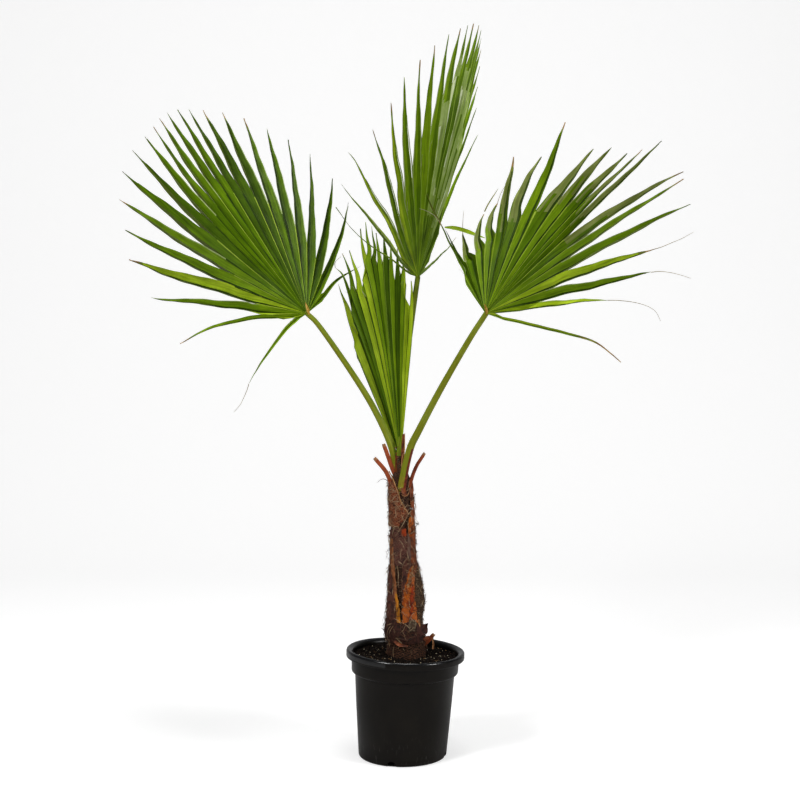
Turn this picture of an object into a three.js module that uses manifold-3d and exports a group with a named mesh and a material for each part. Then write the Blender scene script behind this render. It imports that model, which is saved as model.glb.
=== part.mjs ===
// A young Mexican fan palm, Washingtonia robusta, in its nursery pot.
// Millimetres, +Z up. The origin is the middle of the pot's flat underside, and -Y is the front.

import * as THREE from 'three';
import { mergeVertices } from 'three/addons/utils/BufferGeometryUtils.js';
import Module from 'manifold-3d';

const wasm = await Module();
wasm.setup();

// Clear space between pieces that touch
const GAP = 0.3;

// Pot: a 24 cm injection-moulded container with a rolled lip and a band under it
const POT_SIDES = 56;
const POT_HEIGHT = 218;
const POT_BASE_RADIUS = 90;
const POT_BODY_RADIUS = 101.5;
const POT_BAND_RADIUS = 108.5;
const POT_RIM_RADIUS = 120;
const POT_BAND_BOTTOM = 172;
const POT_SKIRT_BOTTOM = 203;
const POT_WALL = 2.2;
const POT_FLOOR = 3;
const POT_CORNER = 6;
const POT_LEAN = 6;
const POT_RIM_DIP = 3;

// Drain notches through the bottom corner of the pot
const NOTCH_COUNT = 4;
const NOTCH_WIDTH = 18;
const NOTCH_HEIGHT = 12;
const NOTCH_DEPTH = 7;
const NOTCH_TURN = -104.5;

// Soil: it fills the pot to a little below the lip and rises a little round the trunk
const SOIL_SIDES = 40;
const SOIL_LEVEL = 207;
const SOIL_EDGE_LEVEL = 205;
const SOIL_MOUND_RADIUS = 46;

// Trunk: height over the ground, how far its middle stands off the pot's middle, and radius
const TRUNK_SIDES = 22;
const TRUNK_RINGS = [
  [0, 7, 40], [18, 8, 38.5], [45, 6, 37], [72, 4, 33], [101, 5, 33], [130, 5, 30.5],
  [200, 1, 24.5], [266, 0, 22.5], [338, -3, 21], [366, -4, 17], [376, -4, 10],
];
const TRUNK_ROUGHNESS = 0.03;

// Old leaf sheaths that wrap the trunk: middle angle, half width in degrees at foot and tip,
// foot and tip heights over the ground, how far the tip stands off, and thickness
const SHEATHS = {
  sheath_front: { turn: -78, foot: 30, tip: 9, from: 74, to: 182, flare: 2, thick: 3.2 },
  sheath_left: { turn: -146, foot: 32, tip: 12, from: 6, to: 128, flare: 2, thick: 4 },
  sheath_right: { turn: -18, foot: 26, tip: 10, from: 86, to: 150, flare: 5, thick: 4.5 },
  sheath_back: { turn: 95, foot: 60, tip: 16, from: 20, to: 190, flare: 3, thick: 4 },
  sheath_high: { turn: -60, foot: 34, tip: 14, from: 196, to: 318, flare: 1.5, thick: 2.6 },
  sheath_high_left: { turn: 160, foot: 50, tip: 20, from: 150, to: 300, flare: 2, thick: 3 },
  boot_right: { turn: -38, foot: 30, tip: 5, from: 12, to: 72, flare: 11, thick: 6 },
};
const SHEATH_STAND = 0.96;
const SHEATH_ROWS = 7;
const SHEATH_COLUMNS = 6;

// Cut leaf stalks left on the trunk: the path of each, half width, half thickness
const STUBS = {
  stub_left_low: {
    path: [[-6, -8, 530], [-21, -9, 556], [-34, -8, 584], [-54, -7, 608]], wide: 5, thick: 2.6,
  },
  stub_left_high: {
    path: [[-8, 4, 560], [-22, 5, 592], [-29, 6, 612], [-37, 7, 634]], wide: 5, thick: 2.6,
  },
  stub_right: {
    path: [[8, -6, 536], [16, -8, 562], [27, -7, 592], [43, -6, 618]], wide: 4.2, thick: 2.2,
  },
  stub_low: { path: [[36, 10, 222], [50, 10, 232], [62, 10, 245]], wide: 5, thick: 2.5 },
};

// Leaf stalks: path from inside the crown to the hub, half width and half thickness at both ends,
// how far the blunt end reaches on into the hub of the blade, and where the hub sits off its end
const PETIOLES = {
  petiole_young: {
    path: [[-5, 0, 560], [-6, 0, 600], [-7, 0, 634]], wide: [12, 6.5], thick: [7, 4],
    steps: 6, nib: 11.6,
  },
  petiole_right: {
    path: [[-8, -12, 500], [-1, -18, 562], [14, -32, 631], [32, -46, 671], [74, -76, 754],
      [128, -117, 852], [160, -140, 904]],
    seat: [-1.6, -0.7, 0],
    wide: [11, 5.5], thick: [6, 4], steps: 18, nib: 14,
  },
  petiole_left: {
    path: [[2, 6, 530], [-11, 8, 585], [-25, 9, 640], [-58, 12, 710], [-102, 17, 781],
      [-167, 23, 874], [-193, 25, 901]],
    wide: [9, 5], thick: [5.5, 4], steps: 18, nib: 11.6,
  },
  petiole_back: {
    path: [[0, 8, 540], [-4, 14, 584], [-6, 24, 651], [-2, 44, 720], [6, 68, 790], [22, 102, 905],
      [32, 120, 975]],
    wide: [8, 4.8], thick: [5, 3.8], steps: 18, nib: 11.6,
  },
};
const PETIOLE_SIDES = 10;

// Fan blades. Each starts upright with its upper face to the front; `turn` is how far that face
// turns to the right, then the blade leans to the right by `lean` and back by `back`, in degrees.
// `cup` lifts the sides of the fan, as a part of the distance from the hub, and `pleat` is how
// steeply the leaflets fold. The rows of `shape` are: leaflet number, its angle at the hub, swing
// of its tip, reach to the tip, depth of the split beside it, and how far the tip droops and how
// far it curls to the upper side as parts of the reach. Each row of `strays` adds to one leaflet:
// number, swing, reach.
const FRONDS = {
  frond_left: {
    petiole: 'petiole_left', lean: -40, back: 0, turn: 60, cup: 0.05, pleat: 0.45, count: 23,
    shape: [
      [0, -85, 0, 300, 50, 0.3, 0], [1, -76, 4, 395, 100, 0.1, 0], [2, -66, 4, 420, 130, 0.03, 0],
      [5, -38, 4, 460, 215, 0, 0],
      [8, -13.5, 9, 475, 260, 0, 0], [11, 5, 4, 505, 292, 0, 0], [14, 20.5, 1, 505, 285, 0, 0],
      [17, 41.5, 0, 495, 235, 0, 0], [20, 65.5, -2, 450, 145, 0, 0], [22, 85, 2, 270, 80, 0, 0],
    ],
    strays: [[21, -4, 40]],
  },
  frond_right: {
    petiole: 'petiole_right', lean: 47, back: 0, turn: -53, cup: 0.05, pleat: 0.45, count: 20,
    shape: [
      [0, -81, 9, 285, 140, 0, 0.38], [1, -74, 4, 305, 150, 0, 0.2],
      [2, -64, 0, 305, 165, 0, 0.05], [4, -48, 2, 360, 210, 0, 0],
      [7, -25.5, -3, 420, 255, 0, 0], [10, -8, 0, 415, 260, 0, 0], [12, -2, 1, 455, 225, 0, 0],
      [15, 21, 3, 440, 175, 0, 0], [17, 42, 1, 440, 145, 0.05, 0], [18, 51.5, 0, 385, 125, 0.08, 0],
      [19, 67, 1, 360, 110, 0.08, 0],
    ],
    strays: [[5, -7, 20], [6, -3, -10], [7, -7, 50], [8, 2, -20], [12, -1, 15], [13, 6, 0]],
  },
  frond_back: {
    petiole: 'petiole_back', lean: 14, back: 0, turn: -104.5, cup: 0.12, pleat: 0.45, count: 21,
    shape: [
      [0, 88, -7, 490, 100, 0, 0], [1, 83, -7, 500, 140, 0, 0], [3, 65, -5, 480, 190, 0, 0],
      [6, 36, -2, 480, 235, 0, 0],
      [9, 14, -2, 510, 330, 0, 0], [12, 1, 0, 530, 370, 0, 0], [15, -11, -1, 512, 330, 0, 0],
      [18, -27, -8, 490, 190, 0, 0], [19, -39, -12, 575, 130, 0, 0], [20, -62, -7, 505, 90, 0, 0],
    ],
    strays: [],
  },
  frond_young: {
    petiole: 'petiole_young', lean: -8, back: 17, turn: 135, cup: 0, pleat: 1.5, count: 14,
    shape: [
      [0, -18, 0, 330, 250, 0, 0], [4, -8, 0, 425, 350, 0, 0], [7, 0, 0, 455, 390, 0, 0],
      [10, 9, 0, 425, 370, 0, 0], [13, 18, 0, 375, 260, 0, 0],
    ],
    strays: [],
  },
};
const HUB_RADIUS = 12;
const BLADE_THICKNESS = 5;
const TIP_THICKNESS = 2;
const DROOP_POWER = 3;
const FUSED_STEPS = [0, 0.35, 0.7, 1];
const FREE_STEPS = [0, 0.25, 0.5, 0.75];
const TAPER_POWER = 1.4;

const COLOURS = {
  pot: 0x1b1b19, soil: 0x2a211a, bark: 0x4a2b18, sheath: 0x8a4218, stub: 0x7c3a1e,
  stalk: 0x6d8230, blade: 0x3f6410, youngBlade: 0x5d8416,
};

const group = new THREE.Group();

const radians = THREE.MathUtils.degToRad;

// Adds one named piece to the model
function addPiece(name, geometry, colour, roughness, parent = group) {
  const material = new THREE.MeshStandardMaterial({ color: colour, roughness, metalness: 0 });
  const mesh = new THREE.Mesh(geometry, material);
  mesh.name = name;
  parent.add(mesh);
  return mesh;
}

// Geometry from a list of corner points and a list of triangles
function geometryFrom(points, faces) {
  const geometry = new THREE.BufferGeometry();
  geometry.setAttribute('position', new THREE.Float32BufferAttribute(points.flat(), 3));
  geometry.setIndex(faces.flat());
  return geometry;
}

// Closed tube through rings of points that all have the same count
function loft(rings) {
  const sides = rings[0].length;
  const points = rings.flat();
  const faces = [];
  for (let r = 0; r < rings.length - 1; r += 1) {
    for (let s = 0; s < sides; s += 1) {
      const a = r * sides + s;
      const b = r * sides + ((s + 1) % sides);
      faces.push([a, b, b + sides], [a, b + sides, a + sides]);
    }
  }
  for (const [ring, flip] of [[0, true], [rings.length - 1, false]]) {
    const centre = new THREE.Vector3();
    rings[ring].forEach((p) => centre.add(new THREE.Vector3(...p)));
    points.push(centre.divideScalar(sides).toArray());
    for (let s = 0; s < sides; s += 1) {
      const a = ring * sides + s;
      const b = ring * sides + ((s + 1) % sides);
      faces.push(flip ? [points.length - 1, b, a] : [points.length - 1, a, b]);
    }
  }
  return geometryFrom(points, faces);
}

// Solid for cutting, from a closed geometry
function solidFrom(geometry) {
  const bare = geometry.clone();
  bare.deleteAttribute('normal');
  bare.deleteAttribute('uv');
  const merged = mergeVertices(bare, 1e-4);
  return new wasm.Manifold(new wasm.Mesh({
    numProp: 3,
    vertProperties: new Float32Array(merged.attributes.position.array),
    triVerts: new Uint32Array(merged.index.array),
  }));
}

// Geometry of the largest whole body of a solid
function geometryOf(solid) {
  const bodies = solid.decompose();
  bodies.sort((a, b) => b.volume() - a.volume());
  const mesh = bodies[0].getMesh();
  const geometry = new THREE.BufferGeometry();
  geometry.setAttribute('position', new THREE.Float32BufferAttribute(mesh.vertProperties, 3));
  geometry.setIndex(Array.from(mesh.triVerts));
  return geometry;
}

// The pot leans a little to the right and its lip dips on that side
function leanWithPot(geometry) {
  const position = geometry.attributes.position;
  for (let i = 0; i < position.count; i += 1) {
    const x = position.getX(i);
    const z = position.getZ(i);
    const up = Math.max(z, 0) / POT_HEIGHT;
    const dip = POT_RIM_DIP * (x / POT_RIM_RADIUS) * up * up;
    position.setX(i, x + POT_LEAN * up);
    position.setZ(i, z - dip);
  }
  return geometry;
}

// Turned shape: outline points are radius and height, from the axis and back to it
function turned(outline, sides) {
  const geometry = new THREE.LatheGeometry(outline.map(([r, z]) => new THREE.Vector2(r, z)), sides);
  geometry.rotateX(Math.PI / 2);
  return geometry;
}

function makePot() {
  const skirt = POT_RIM_RADIUS - POT_WALL;
  const outline = [
    [0, 0],
    [POT_BASE_RADIUS - POT_CORNER, 0],
    [POT_BASE_RADIUS - POT_CORNER * 0.3, POT_CORNER * 0.35],
    [POT_BASE_RADIUS, POT_CORNER],
    [POT_BODY_RADIUS, POT_BAND_BOTTOM],
    [POT_BAND_RADIUS - 1, POT_BAND_BOTTOM + 4],
    [POT_BAND_RADIUS, POT_BAND_BOTTOM + 8],
    [POT_BAND_RADIUS + 1, POT_HEIGHT - 5],
    [skirt - 1, POT_HEIGHT - 5],
    [skirt, POT_SKIRT_BOTTOM],
    [POT_RIM_RADIUS, POT_SKIRT_BOTTOM],
    [POT_RIM_RADIUS, POT_HEIGHT - 5],
    [POT_RIM_RADIUS - 1.5, POT_HEIGHT - 1.2],
    [POT_RIM_RADIUS - 5, POT_HEIGHT],
    [POT_RIM_RADIUS - 10, POT_HEIGHT - 0.8],
    [POT_BAND_RADIUS - POT_WALL + 1, POT_HEIGHT - 4],
    [POT_BAND_RADIUS - POT_WALL, POT_BAND_BOTTOM + 8],
    [POT_BODY_RADIUS - POT_WALL, POT_BAND_BOTTOM],
    [POT_BASE_RADIUS - POT_WALL, POT_CORNER + 1],
    [POT_BASE_RADIUS - POT_CORNER - 1, POT_FLOOR],
    [0, POT_FLOOR],
  ];
  let solid = solidFrom(turned(outline, POT_SIDES));
  for (let i = 0; i < NOTCH_COUNT; i += 1) {
    const turn = radians(NOTCH_TURN) + (i * 2 * Math.PI) / NOTCH_COUNT;
    const notch = new THREE.CylinderGeometry(NOTCH_WIDTH / 2, NOTCH_WIDTH / 2, NOTCH_DEPTH * 2, 12);
    notch.scale(1, 1, NOTCH_HEIGHT / (NOTCH_WIDTH / 2));
    notch.rotateZ(Math.PI / 2);
    notch.translate(POT_BASE_RADIUS, 0, 0);
    notch.rotateZ(turn);
    solid = solid.subtract(solidFrom(notch));
  }
  return leanWithPot(geometryOf(solid));
}

function makeSoil() {
  const inner = POT_WALL + GAP;
  const outline = [
    [0, POT_FLOOR + GAP],
    [POT_BASE_RADIUS - POT_CORNER - 3, POT_FLOOR + GAP],
    [POT_BASE_RADIUS - inner - 0.6, POT_CORNER + 3],
    [POT_BODY_RADIUS - inner - 0.1, POT_BAND_BOTTOM],
    [POT_BAND_RADIUS - inner, POT_BAND_BOTTOM + 10],
    [POT_BAND_RADIUS - inner, SOIL_EDGE_LEVEL - 3],
    [POT_BAND_RADIUS - inner - 4, SOIL_EDGE_LEVEL],
    [80, SOIL_EDGE_LEVEL + 0.5],
    [SOIL_MOUND_RADIUS + 14, SOIL_LEVEL - 1.5],
    [SOIL_MOUND_RADIUS, SOIL_LEVEL],
    [0, SOIL_LEVEL],
  ];
  return leanWithPot(turned(outline, SOIL_SIDES));
}

// The pot's lean moves the flat top of the soil, so the trunk's cut follows it with the gap
const GROUND = SOIL_LEVEL + GAP + POT_RIM_DIP * (SOIL_MOUND_RADIUS / POT_RIM_RADIUS);

// Smooth value of one column of rows whose first column is the place along them
function along(rows, place, column) {
  let k = 0;
  while (k < rows.length - 2 && place > rows[k + 1][0]) k += 1;
  const slope = (j) => {
    const before = rows[Math.max(j - 1, 0)];
    const after = rows[Math.min(j + 1, rows.length - 1)];
    return (after[column] - before[column]) / (after[0] - before[0]);
  };
  const span = rows[k + 1][0] - rows[k][0];
  const t = (place - rows[k][0]) / span;
  const t2 = t * t;
  const t3 = t2 * t;
  return (2 * t3 - 3 * t2 + 1) * rows[k][column] + (t3 - 2 * t2 + t) * span * slope(k)
    + (3 * t2 - 2 * t3) * rows[k + 1][column] + (t3 - t2) * span * slope(k + 1);
}

// Radius of the trunk at a height over the ground and an angle, with its slight unevenness
function trunkRadius(up, angle) {
  const wave = Math.sin(3 * angle + up * 0.021) + 0.6 * Math.sin(5 * angle - up * 0.034);
  return along(TRUNK_RINGS, up, 2) * (1 + TRUNK_ROUGHNESS * wave);
}

function makeTrunk(grow) {
  const rings = TRUNK_RINGS.map(([up, middle], ring) => {
    const end = ring === TRUNK_RINGS.length - 1 ? grow : 0;
    return Array.from({ length: TRUNK_SIDES }, (_, side) => {
      const angle = (side / TRUNK_SIDES) * 2 * Math.PI;
      const radius = trunkRadius(up, angle) + grow;
      return [middle + radius * Math.cos(angle), radius * Math.sin(angle), GROUND + up + end];
    });
  });
  return loft(rings);
}

// A sheath hugs the trunk as a curved tongue that narrows upward
function makeSheath({ turn, foot, tip, from, to, flare, thick }) {
  const rows = SHEATH_ROWS;
  const columns = SHEATH_COLUMNS;
  const shells = [0, 1].map((outer) => {
    const points = [];
    for (let r = 0; r <= rows; r += 1) {
      const t = r / rows;
      const up = from + (to - from) * t;
      const half = radians(foot + (tip - foot) * Math.pow(t, 0.8));
      for (let c = 0; c <= columns; c += 1) {
        const across = (c / columns) * 2 - 1;
        const angle = radians(turn) + half * across;
        const body = Math.min(1, 3 * t + 0.35) * (1 - 0.6 * t) * (1 - 0.55 * across * across);
        const stand = SHEATH_STAND + flare * t * t + (outer ? thick * body : 0);
        const radius = trunkRadius(up, angle) + stand;
        const middle = along(TRUNK_RINGS, up, 1);
        points.push([
          middle + radius * Math.cos(angle), radius * Math.sin(angle), GROUND + up,
        ]);
      }
    }
    return points;
  });
  const width = columns + 1;
  const count = shells[0].length;
  const faces = [];
  for (let r = 0; r < rows; r += 1) {
    for (let c = 0; c < columns; c += 1) {
      const a = r * width + c;
      const b = a + 1;
      const up = a + width;
      faces.push([a, up + 1, b], [a, up, up + 1]);
      faces.push([count + a, count + b, count + up + 1], [count + a, count + up + 1, count + up]);
    }
  }
  const rim = [];
  for (let c = 0; c < columns; c += 1) rim.push(c);
  for (let r = 0; r < rows; r += 1) rim.push(r * width + columns);
  for (let c = columns; c > 0; c -= 1) rim.push(rows * width + c);
  for (let r = rows; r > 0; r -= 1) rim.push(r * width);
  rim.forEach((a, i) => {
    const b = rim[(i + 1) % rim.length];
    faces.push([a, b, count + b], [a, count + b, count + a]);
  });
  return geometryFrom(shells.flat(), faces);
}

// Stalk: a limb that tapers along a curve, flatter on its upper side
function makeLimb(path, wide, thick, steps, grow, nib = 0) {
  const curve = new THREE.CatmullRomCurve3(path.map((p) => new THREE.Vector3(...p)));
  const rings = [];
  const stations = Array.from({ length: steps + 1 }, (_, i) => [i / steps, 1, 0]);
  if (nib > 0) stations.push([1, 0.8, nib * 0.55], [1, 0.25, nib]);
  for (const [t, share, beyond] of stations) {
    const centre = curve.getPointAt(t);
    const ahead = curve.getTangentAt(t);
    centre.addScaledVector(ahead, beyond);
    const side = new THREE.Vector3(0, 1, 0).cross(ahead);
    if (side.lengthSq() < 1e-6) side.set(1, 0, 0);
    side.normalize();
    const top = new THREE.Vector3().crossVectors(ahead, side);
    const halfWide = (wide[0] + (wide[1] - wide[0]) * Math.pow(t, 0.6)) * share + grow;
    const halfThick = (thick[0] + (thick[1] - thick[0]) * t) * share + grow;
    rings.push(Array.from({ length: PETIOLE_SIDES }, (_, i) => {
      const angle = (i / PETIOLE_SIDES) * 2 * Math.PI;
      const point = centre.clone();
      point.addScaledVector(side, halfWide * Math.cos(angle));
      point.addScaledVector(top, halfThick * Math.sin(angle));
      return point.toArray();
    }));
  }
  if (grow > 0) {
    const last = stations.length - 1;
    const ahead = curve.getTangentAt(1).multiplyScalar(grow);
    rings[last] = rings[last].map((p) => [p[0] + ahead.x, p[1] + ahead.y, p[2] + ahead.z]);
  }
  return loft(rings);
}

// One leaflet of a frond: its angle at the hub, the swing, reach and droop of its tip
function leafletOf(frond, index) {
  const stray = frond.strays.find(([number]) => number === index) ?? [index, 0, 0];
  return {
    angle: along(frond.shape, index, 1),
    swing: along(frond.shape, index, 2) + stray[1],
    reach: along(frond.shape, index, 3) + stray[2],
    droop: along(frond.shape, index, 5),
    curl: along(frond.shape, index, 6),
  };
}

const centreAngle = (leaf, radius) => leaf.angle + leaf.swing * (radius / leaf.reach) ** 2;

// A fan blade: leaflets folded like a V, joined side by side near the hub and free beyond the
// splits. The upper face and the lower face are the same surface, one blade thickness apart.
function makeBlade(frond) {
  const turnBack = new THREE.Matrix4().makeRotationFromEuler(bladeEuler(frond)).invert();
  const gravity = new THREE.Vector3(0, 0, -1).applyMatrix4(turnBack);
  const leaves = Array.from({ length: frond.count }, (_, i) => leafletOf(frond, i));
  const points = [];
  const faces = [];

  // `bend` holds the reach, droop and curl that count at this point
  function pointAt(angle, radius, height, bend) {
    const a = radians(angle);
    const share = radius / bend.reach;
    const lift = height + (frond.cup * Math.abs(Math.sin(a)) + bend.curl * share) * radius;
    const drop = bend.droop * bend.reach * share ** DROOP_POWER;
    return new THREE.Vector3(radius * Math.sin(a), -lift, radius * Math.cos(a))
      .addScaledVector(gravity, drop);
  }

  // Index of the upper corner; the lower corner follows it
  function addPair(angle, radius, height, thickness, bend) {
    points.push(pointAt(angle, radius, height, bend).toArray());
    points.push(pointAt(angle, radius, height - thickness, bend).toArray());
    return points.length - 2;
  }

  // Ridge line before leaflet `index`, from the hub to the split
  const ridges = Array.from({ length: frond.count + 1 }, (_, index) => {
    const before = leaves[Math.max(index - 1, 0)];
    const after = leaves[Math.min(index, frond.count - 1)];
    const inner = index === 0 ? leaves[1] : leaves[frond.count - 2];
    const bend = {
      reach: (before.reach + after.reach) / 2,
      droop: (before.droop + after.droop) / 2,
      curl: (before.curl + after.curl) / 2,
    };
    const place = Math.min(Math.max(index - 0.5, 0), frond.count - 1);
    const outside = index === 0 || index === frond.count;
    const depth = outside ? HUB_RADIUS * 3 : along(frond.shape, place, 4);
    const angleAt = (radius) => {
      if (!outside) return (centreAngle(before, radius) + centreAngle(after, radius)) / 2;
      const own = centreAngle(after, radius);
      return own + (own - centreAngle(inner, radius)) / 2;
    };
    const pairs = FUSED_STEPS.map((f) => {
      const radius = HUB_RADIUS + (depth - HUB_RADIUS) * f;
      const half = Math.abs(radians(angleAt(radius) - centreAngle(after, radius))) * radius;
      return addPair(angleAt(radius), radius, frond.pleat * half * 0.5, BLADE_THICKNESS, bend);
    });
    return { depth, angleAt, pairs };
  });

  const forward = leaves[0].angle < leaves[frond.count - 1].angle;
  // Quad between two upper corners of one line and two of the next, on both faces
  function addFaces(a, b, c, d) {
    const quads = forward ? [a, b, c, d] : [b, a, d, c];
    const [p, q, r, s] = quads;
    faces.push([p, q, r], [p, r, s]);
    faces.push([p + 1, r + 1, q + 1], [p + 1, s + 1, r + 1]);
  }
  function addWall(a, b) {
    const [p, q] = forward ? [a, b] : [b, a];
    faces.push([p, p + 1, q + 1], [p, q + 1, q]);
  }

  leaves.forEach((leaf, index) => {
    const left = ridges[index];
    const right = ridges[index + 1];
    const middleDepth = (left.depth + right.depth) / 2;
    const halfAt = (ridge, radius) => (
      Math.abs(radians(ridge.angleAt(radius) - centreAngle(leaf, radius))) * radius
    );
    const rib = FUSED_STEPS.map((f) => {
      const radius = HUB_RADIUS + (middleDepth - HUB_RADIUS) * f;
      const half = (halfAt(left, radius) + halfAt(right, radius)) / 2;
      const height = -frond.pleat * half * 0.5;
      return addPair(centreAngle(leaf, radius), radius, height, BLADE_THICKNESS, leaf);
    });
    for (let k = 0; k < FUSED_STEPS.length - 1; k += 1) {
      addFaces(left.pairs[k], rib[k], rib[k + 1], left.pairs[k + 1]);
      addFaces(rib[k], right.pairs[k], right.pairs[k + 1], rib[k + 1]);
      if (index === 0) addWall(left.pairs[k + 1], left.pairs[k]);
      if (index === frond.count - 1) addWall(right.pairs[k], right.pairs[k + 1]);
    }
    addWall(left.pairs[0], rib[0]);
    addWall(rib[0], right.pairs[0]);

    // Free part, tapering to the tip
    const last = FUSED_STEPS.length - 1;
    let edge = [left.pairs[last], rib[last], right.pairs[last]];
    for (const g of FREE_STEPS.slice(1)) {
      const taper = 1 - g ** TAPER_POWER;
      const thickness = BLADE_THICKNESS + (TIP_THICKNESS - BLADE_THICKNESS) * g;
      const next = [left, null, right].map((ridge) => {
        const start = ridge ? ridge.depth : middleDepth;
        const radius = start + (leaf.reach - start) * g;
        const centre = centreAngle(leaf, radius);
        if (!ridge) {
          const half = (halfAt(left, left.depth) + halfAt(right, right.depth)) / 2;
          return addPair(centre, radius, -frond.pleat * half * 0.5 * taper, thickness, leaf);
        }
        const half = halfAt(ridge, ridge.depth) * taper;
        const away = Math.sign(ridge.angleAt(ridge.depth) - centreAngle(leaf, ridge.depth));
        const angle = centre + away * THREE.MathUtils.radToDeg(half / radius);
        return addPair(angle, radius, frond.pleat * half * 0.5, thickness, leaf);
      });
      addFaces(edge[0], edge[1], next[1], next[0]);
      addFaces(edge[1], edge[2], next[2], next[1]);
      addWall(next[0], edge[0]);
      addWall(edge[2], next[2]);
      edge = next;
    }
    const tip = addPair(centreAngle(leaf, leaf.reach), leaf.reach, 0, TIP_THICKNESS, leaf);
    const [p, q] = forward ? [edge[0], edge[2]] : [edge[2], edge[0]];
    faces.push([p, edge[1], tip], [edge[1], q, tip]);
    faces.push([p + 1, tip + 1, edge[1] + 1], [edge[1] + 1, tip + 1, q + 1]);
    addWall(tip, edge[0]);
    addWall(edge[2], tip);
  });
  return geometryFrom(points, faces);
}

function bladeEuler(frond) {
  return new THREE.Euler(radians(-frond.back), radians(frond.lean), radians(frond.turn), 'XYZ');
}

addPiece('pot', makePot(), COLOURS.pot, 0.5);
addPiece('soil', makeSoil(), COLOURS.soil, 0.95);
addPiece('trunk', makeTrunk(0), COLOURS.bark, 0.9);

for (const [name, size] of Object.entries(SHEATHS)) {
  addPiece(name, makeSheath(size), COLOURS.sheath, 0.7);
}

// Stalks and stubs are cut clear of the trunk, of the sheaths and of each other, in this order
const cutters = [solidFrom(makeTrunk(GAP))];
const limbs = [];
for (const [name, size] of Object.entries(PETIOLES)) {
  limbs.push({ name, ...size, colour: COLOURS.stalk });
}
for (const [name, { path, wide, thick }] of Object.entries(STUBS)) {
  limbs.push({
    name, path, wide: [wide, wide * 0.8], thick: [thick, thick * 0.8], steps: 7, nib: 0,
    colour: COLOURS.stub,
  });
}
for (const { name, path, wide, thick, steps, nib, colour } of limbs) {
  let solid = solidFrom(makeLimb(path, wide, thick, steps, 0, nib));
  for (const cutter of cutters) solid = solid.subtract(cutter);
  cutters.push(solidFrom(makeLimb(path, wide, thick, steps, GAP, nib)));
  addPiece(name, geometryOf(solid), colour, 0.6);
}

for (const [name, frond] of Object.entries(FRONDS)) {
  const hub = new THREE.Group();
  const { path, seat } = PETIOLES[frond.petiole];
  hub.position.set(...path[path.length - 1]);
  if (seat) hub.position.add(new THREE.Vector3(...seat));
  hub.rotation.copy(bladeEuler(frond));
  const colour = name === 'frond_young' ? COLOURS.youngBlade : COLOURS.blade;
  addPiece(name, makeBlade(frond), colour, 0.55, hub);
  group.add(hub);
}

export default group;
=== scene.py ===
"""A young Mexican fan palm in its nursery pot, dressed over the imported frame.

Sizes in the classes are millimetres in the frame of the part: +Z up, -Y to the front, with the
origin in the middle of the pot's flat underside. Meshes are written in metres. Spots are pixels
right and down in the photograph, and `Viewpoint` turns them into points of the plant.
"""

import logging
import math
from dataclasses import dataclass, field
from enum import Enum
from typing import Callable, Sequence

import bmesh
import bpy
import numpy as np
from mathutils import Matrix, Vector, noise

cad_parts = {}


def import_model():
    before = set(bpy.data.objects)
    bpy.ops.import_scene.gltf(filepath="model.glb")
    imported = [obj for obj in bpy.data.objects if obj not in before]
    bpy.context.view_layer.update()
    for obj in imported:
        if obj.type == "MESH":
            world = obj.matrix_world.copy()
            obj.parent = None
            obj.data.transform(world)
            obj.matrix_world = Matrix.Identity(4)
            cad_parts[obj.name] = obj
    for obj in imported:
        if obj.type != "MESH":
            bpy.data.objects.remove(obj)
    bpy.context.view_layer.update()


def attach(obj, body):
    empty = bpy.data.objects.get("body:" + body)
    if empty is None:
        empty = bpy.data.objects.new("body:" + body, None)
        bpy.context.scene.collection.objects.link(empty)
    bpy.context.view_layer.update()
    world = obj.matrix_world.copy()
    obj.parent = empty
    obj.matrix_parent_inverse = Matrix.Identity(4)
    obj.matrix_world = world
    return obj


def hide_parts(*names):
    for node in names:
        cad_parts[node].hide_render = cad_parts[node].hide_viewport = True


LOG = logging.getLogger("palm")
MM = 0.001
BODY = "root"
# Angle round the trunk that faces the camera, in degrees
FRONT = -90.0
# One turn in radians, for phases and directions that are drawn
TURN = 6.28
# Spacing of the bands of a wave texture whose scale is one
WAVE_STEP = 0.314

Piece = bpy.types.Object
Tree = bpy.types.NodeTree
Node = bpy.types.Node
Socket = bpy.types.NodeSocket
Rows = Sequence[Sequence[float]]
Spots = Sequence[tuple[float, float]]
Radius = Callable[[float], float]


def linear(hex_colour: str) -> tuple[float, float, float, float]:
    """Turns an sRGB hex colour into linear red, green, blue and alpha.

    Args:
        hex_colour: Six hex digits.

    Returns:
        The colour as four linear numbers.
    """
    channels = [int(hex_colour[i : i + 2], 16) / 255 for i in (0, 2, 4)]
    parts = [c / 12.92 if c <= 0.04045 else ((c + 0.055) / 1.055) ** 2.4 for c in channels]
    return parts[0], parts[1], parts[2], 1.0


def empty_tree(owner: bpy.types.ID) -> Tree:
    """Turns on the nodes of a material or a world, and clears them."""
    owner.use_nodes = True
    owner.node_tree.nodes.clear()
    return owner.node_tree


def add_node(tree: Tree, kind: str, inputs: dict | None = None, **settings: object) -> Node:
    """Adds one node with its settings, values and links.

    Args:
        tree: The tree that the node goes into.
        kind: The node's type name.
        inputs: Socket names or numbers, each with a value or an output socket to link.
        **settings: Attributes of the node.

    Returns:
        The new node.
    """
    node = tree.nodes.new(kind)
    for name, value in settings.items():
        setattr(node, name, value)
    for key, value in (inputs or {}).items():
        if isinstance(value, Socket):
            tree.links.new(value, node.inputs[key])
        else:
            node.inputs[key].default_value = value
    return node


def soft_noise(tree: Tree, place: Socket, scale: float, detail: float, rough: float = 0.5) -> Socket:
    """Adds a noise pattern and returns its height."""
    values = {"Vector": place, "Scale": scale, "Detail": detail, "Roughness": rough}
    return add_node(tree, "ShaderNodeTexNoise", values).outputs["Fac"]


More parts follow.
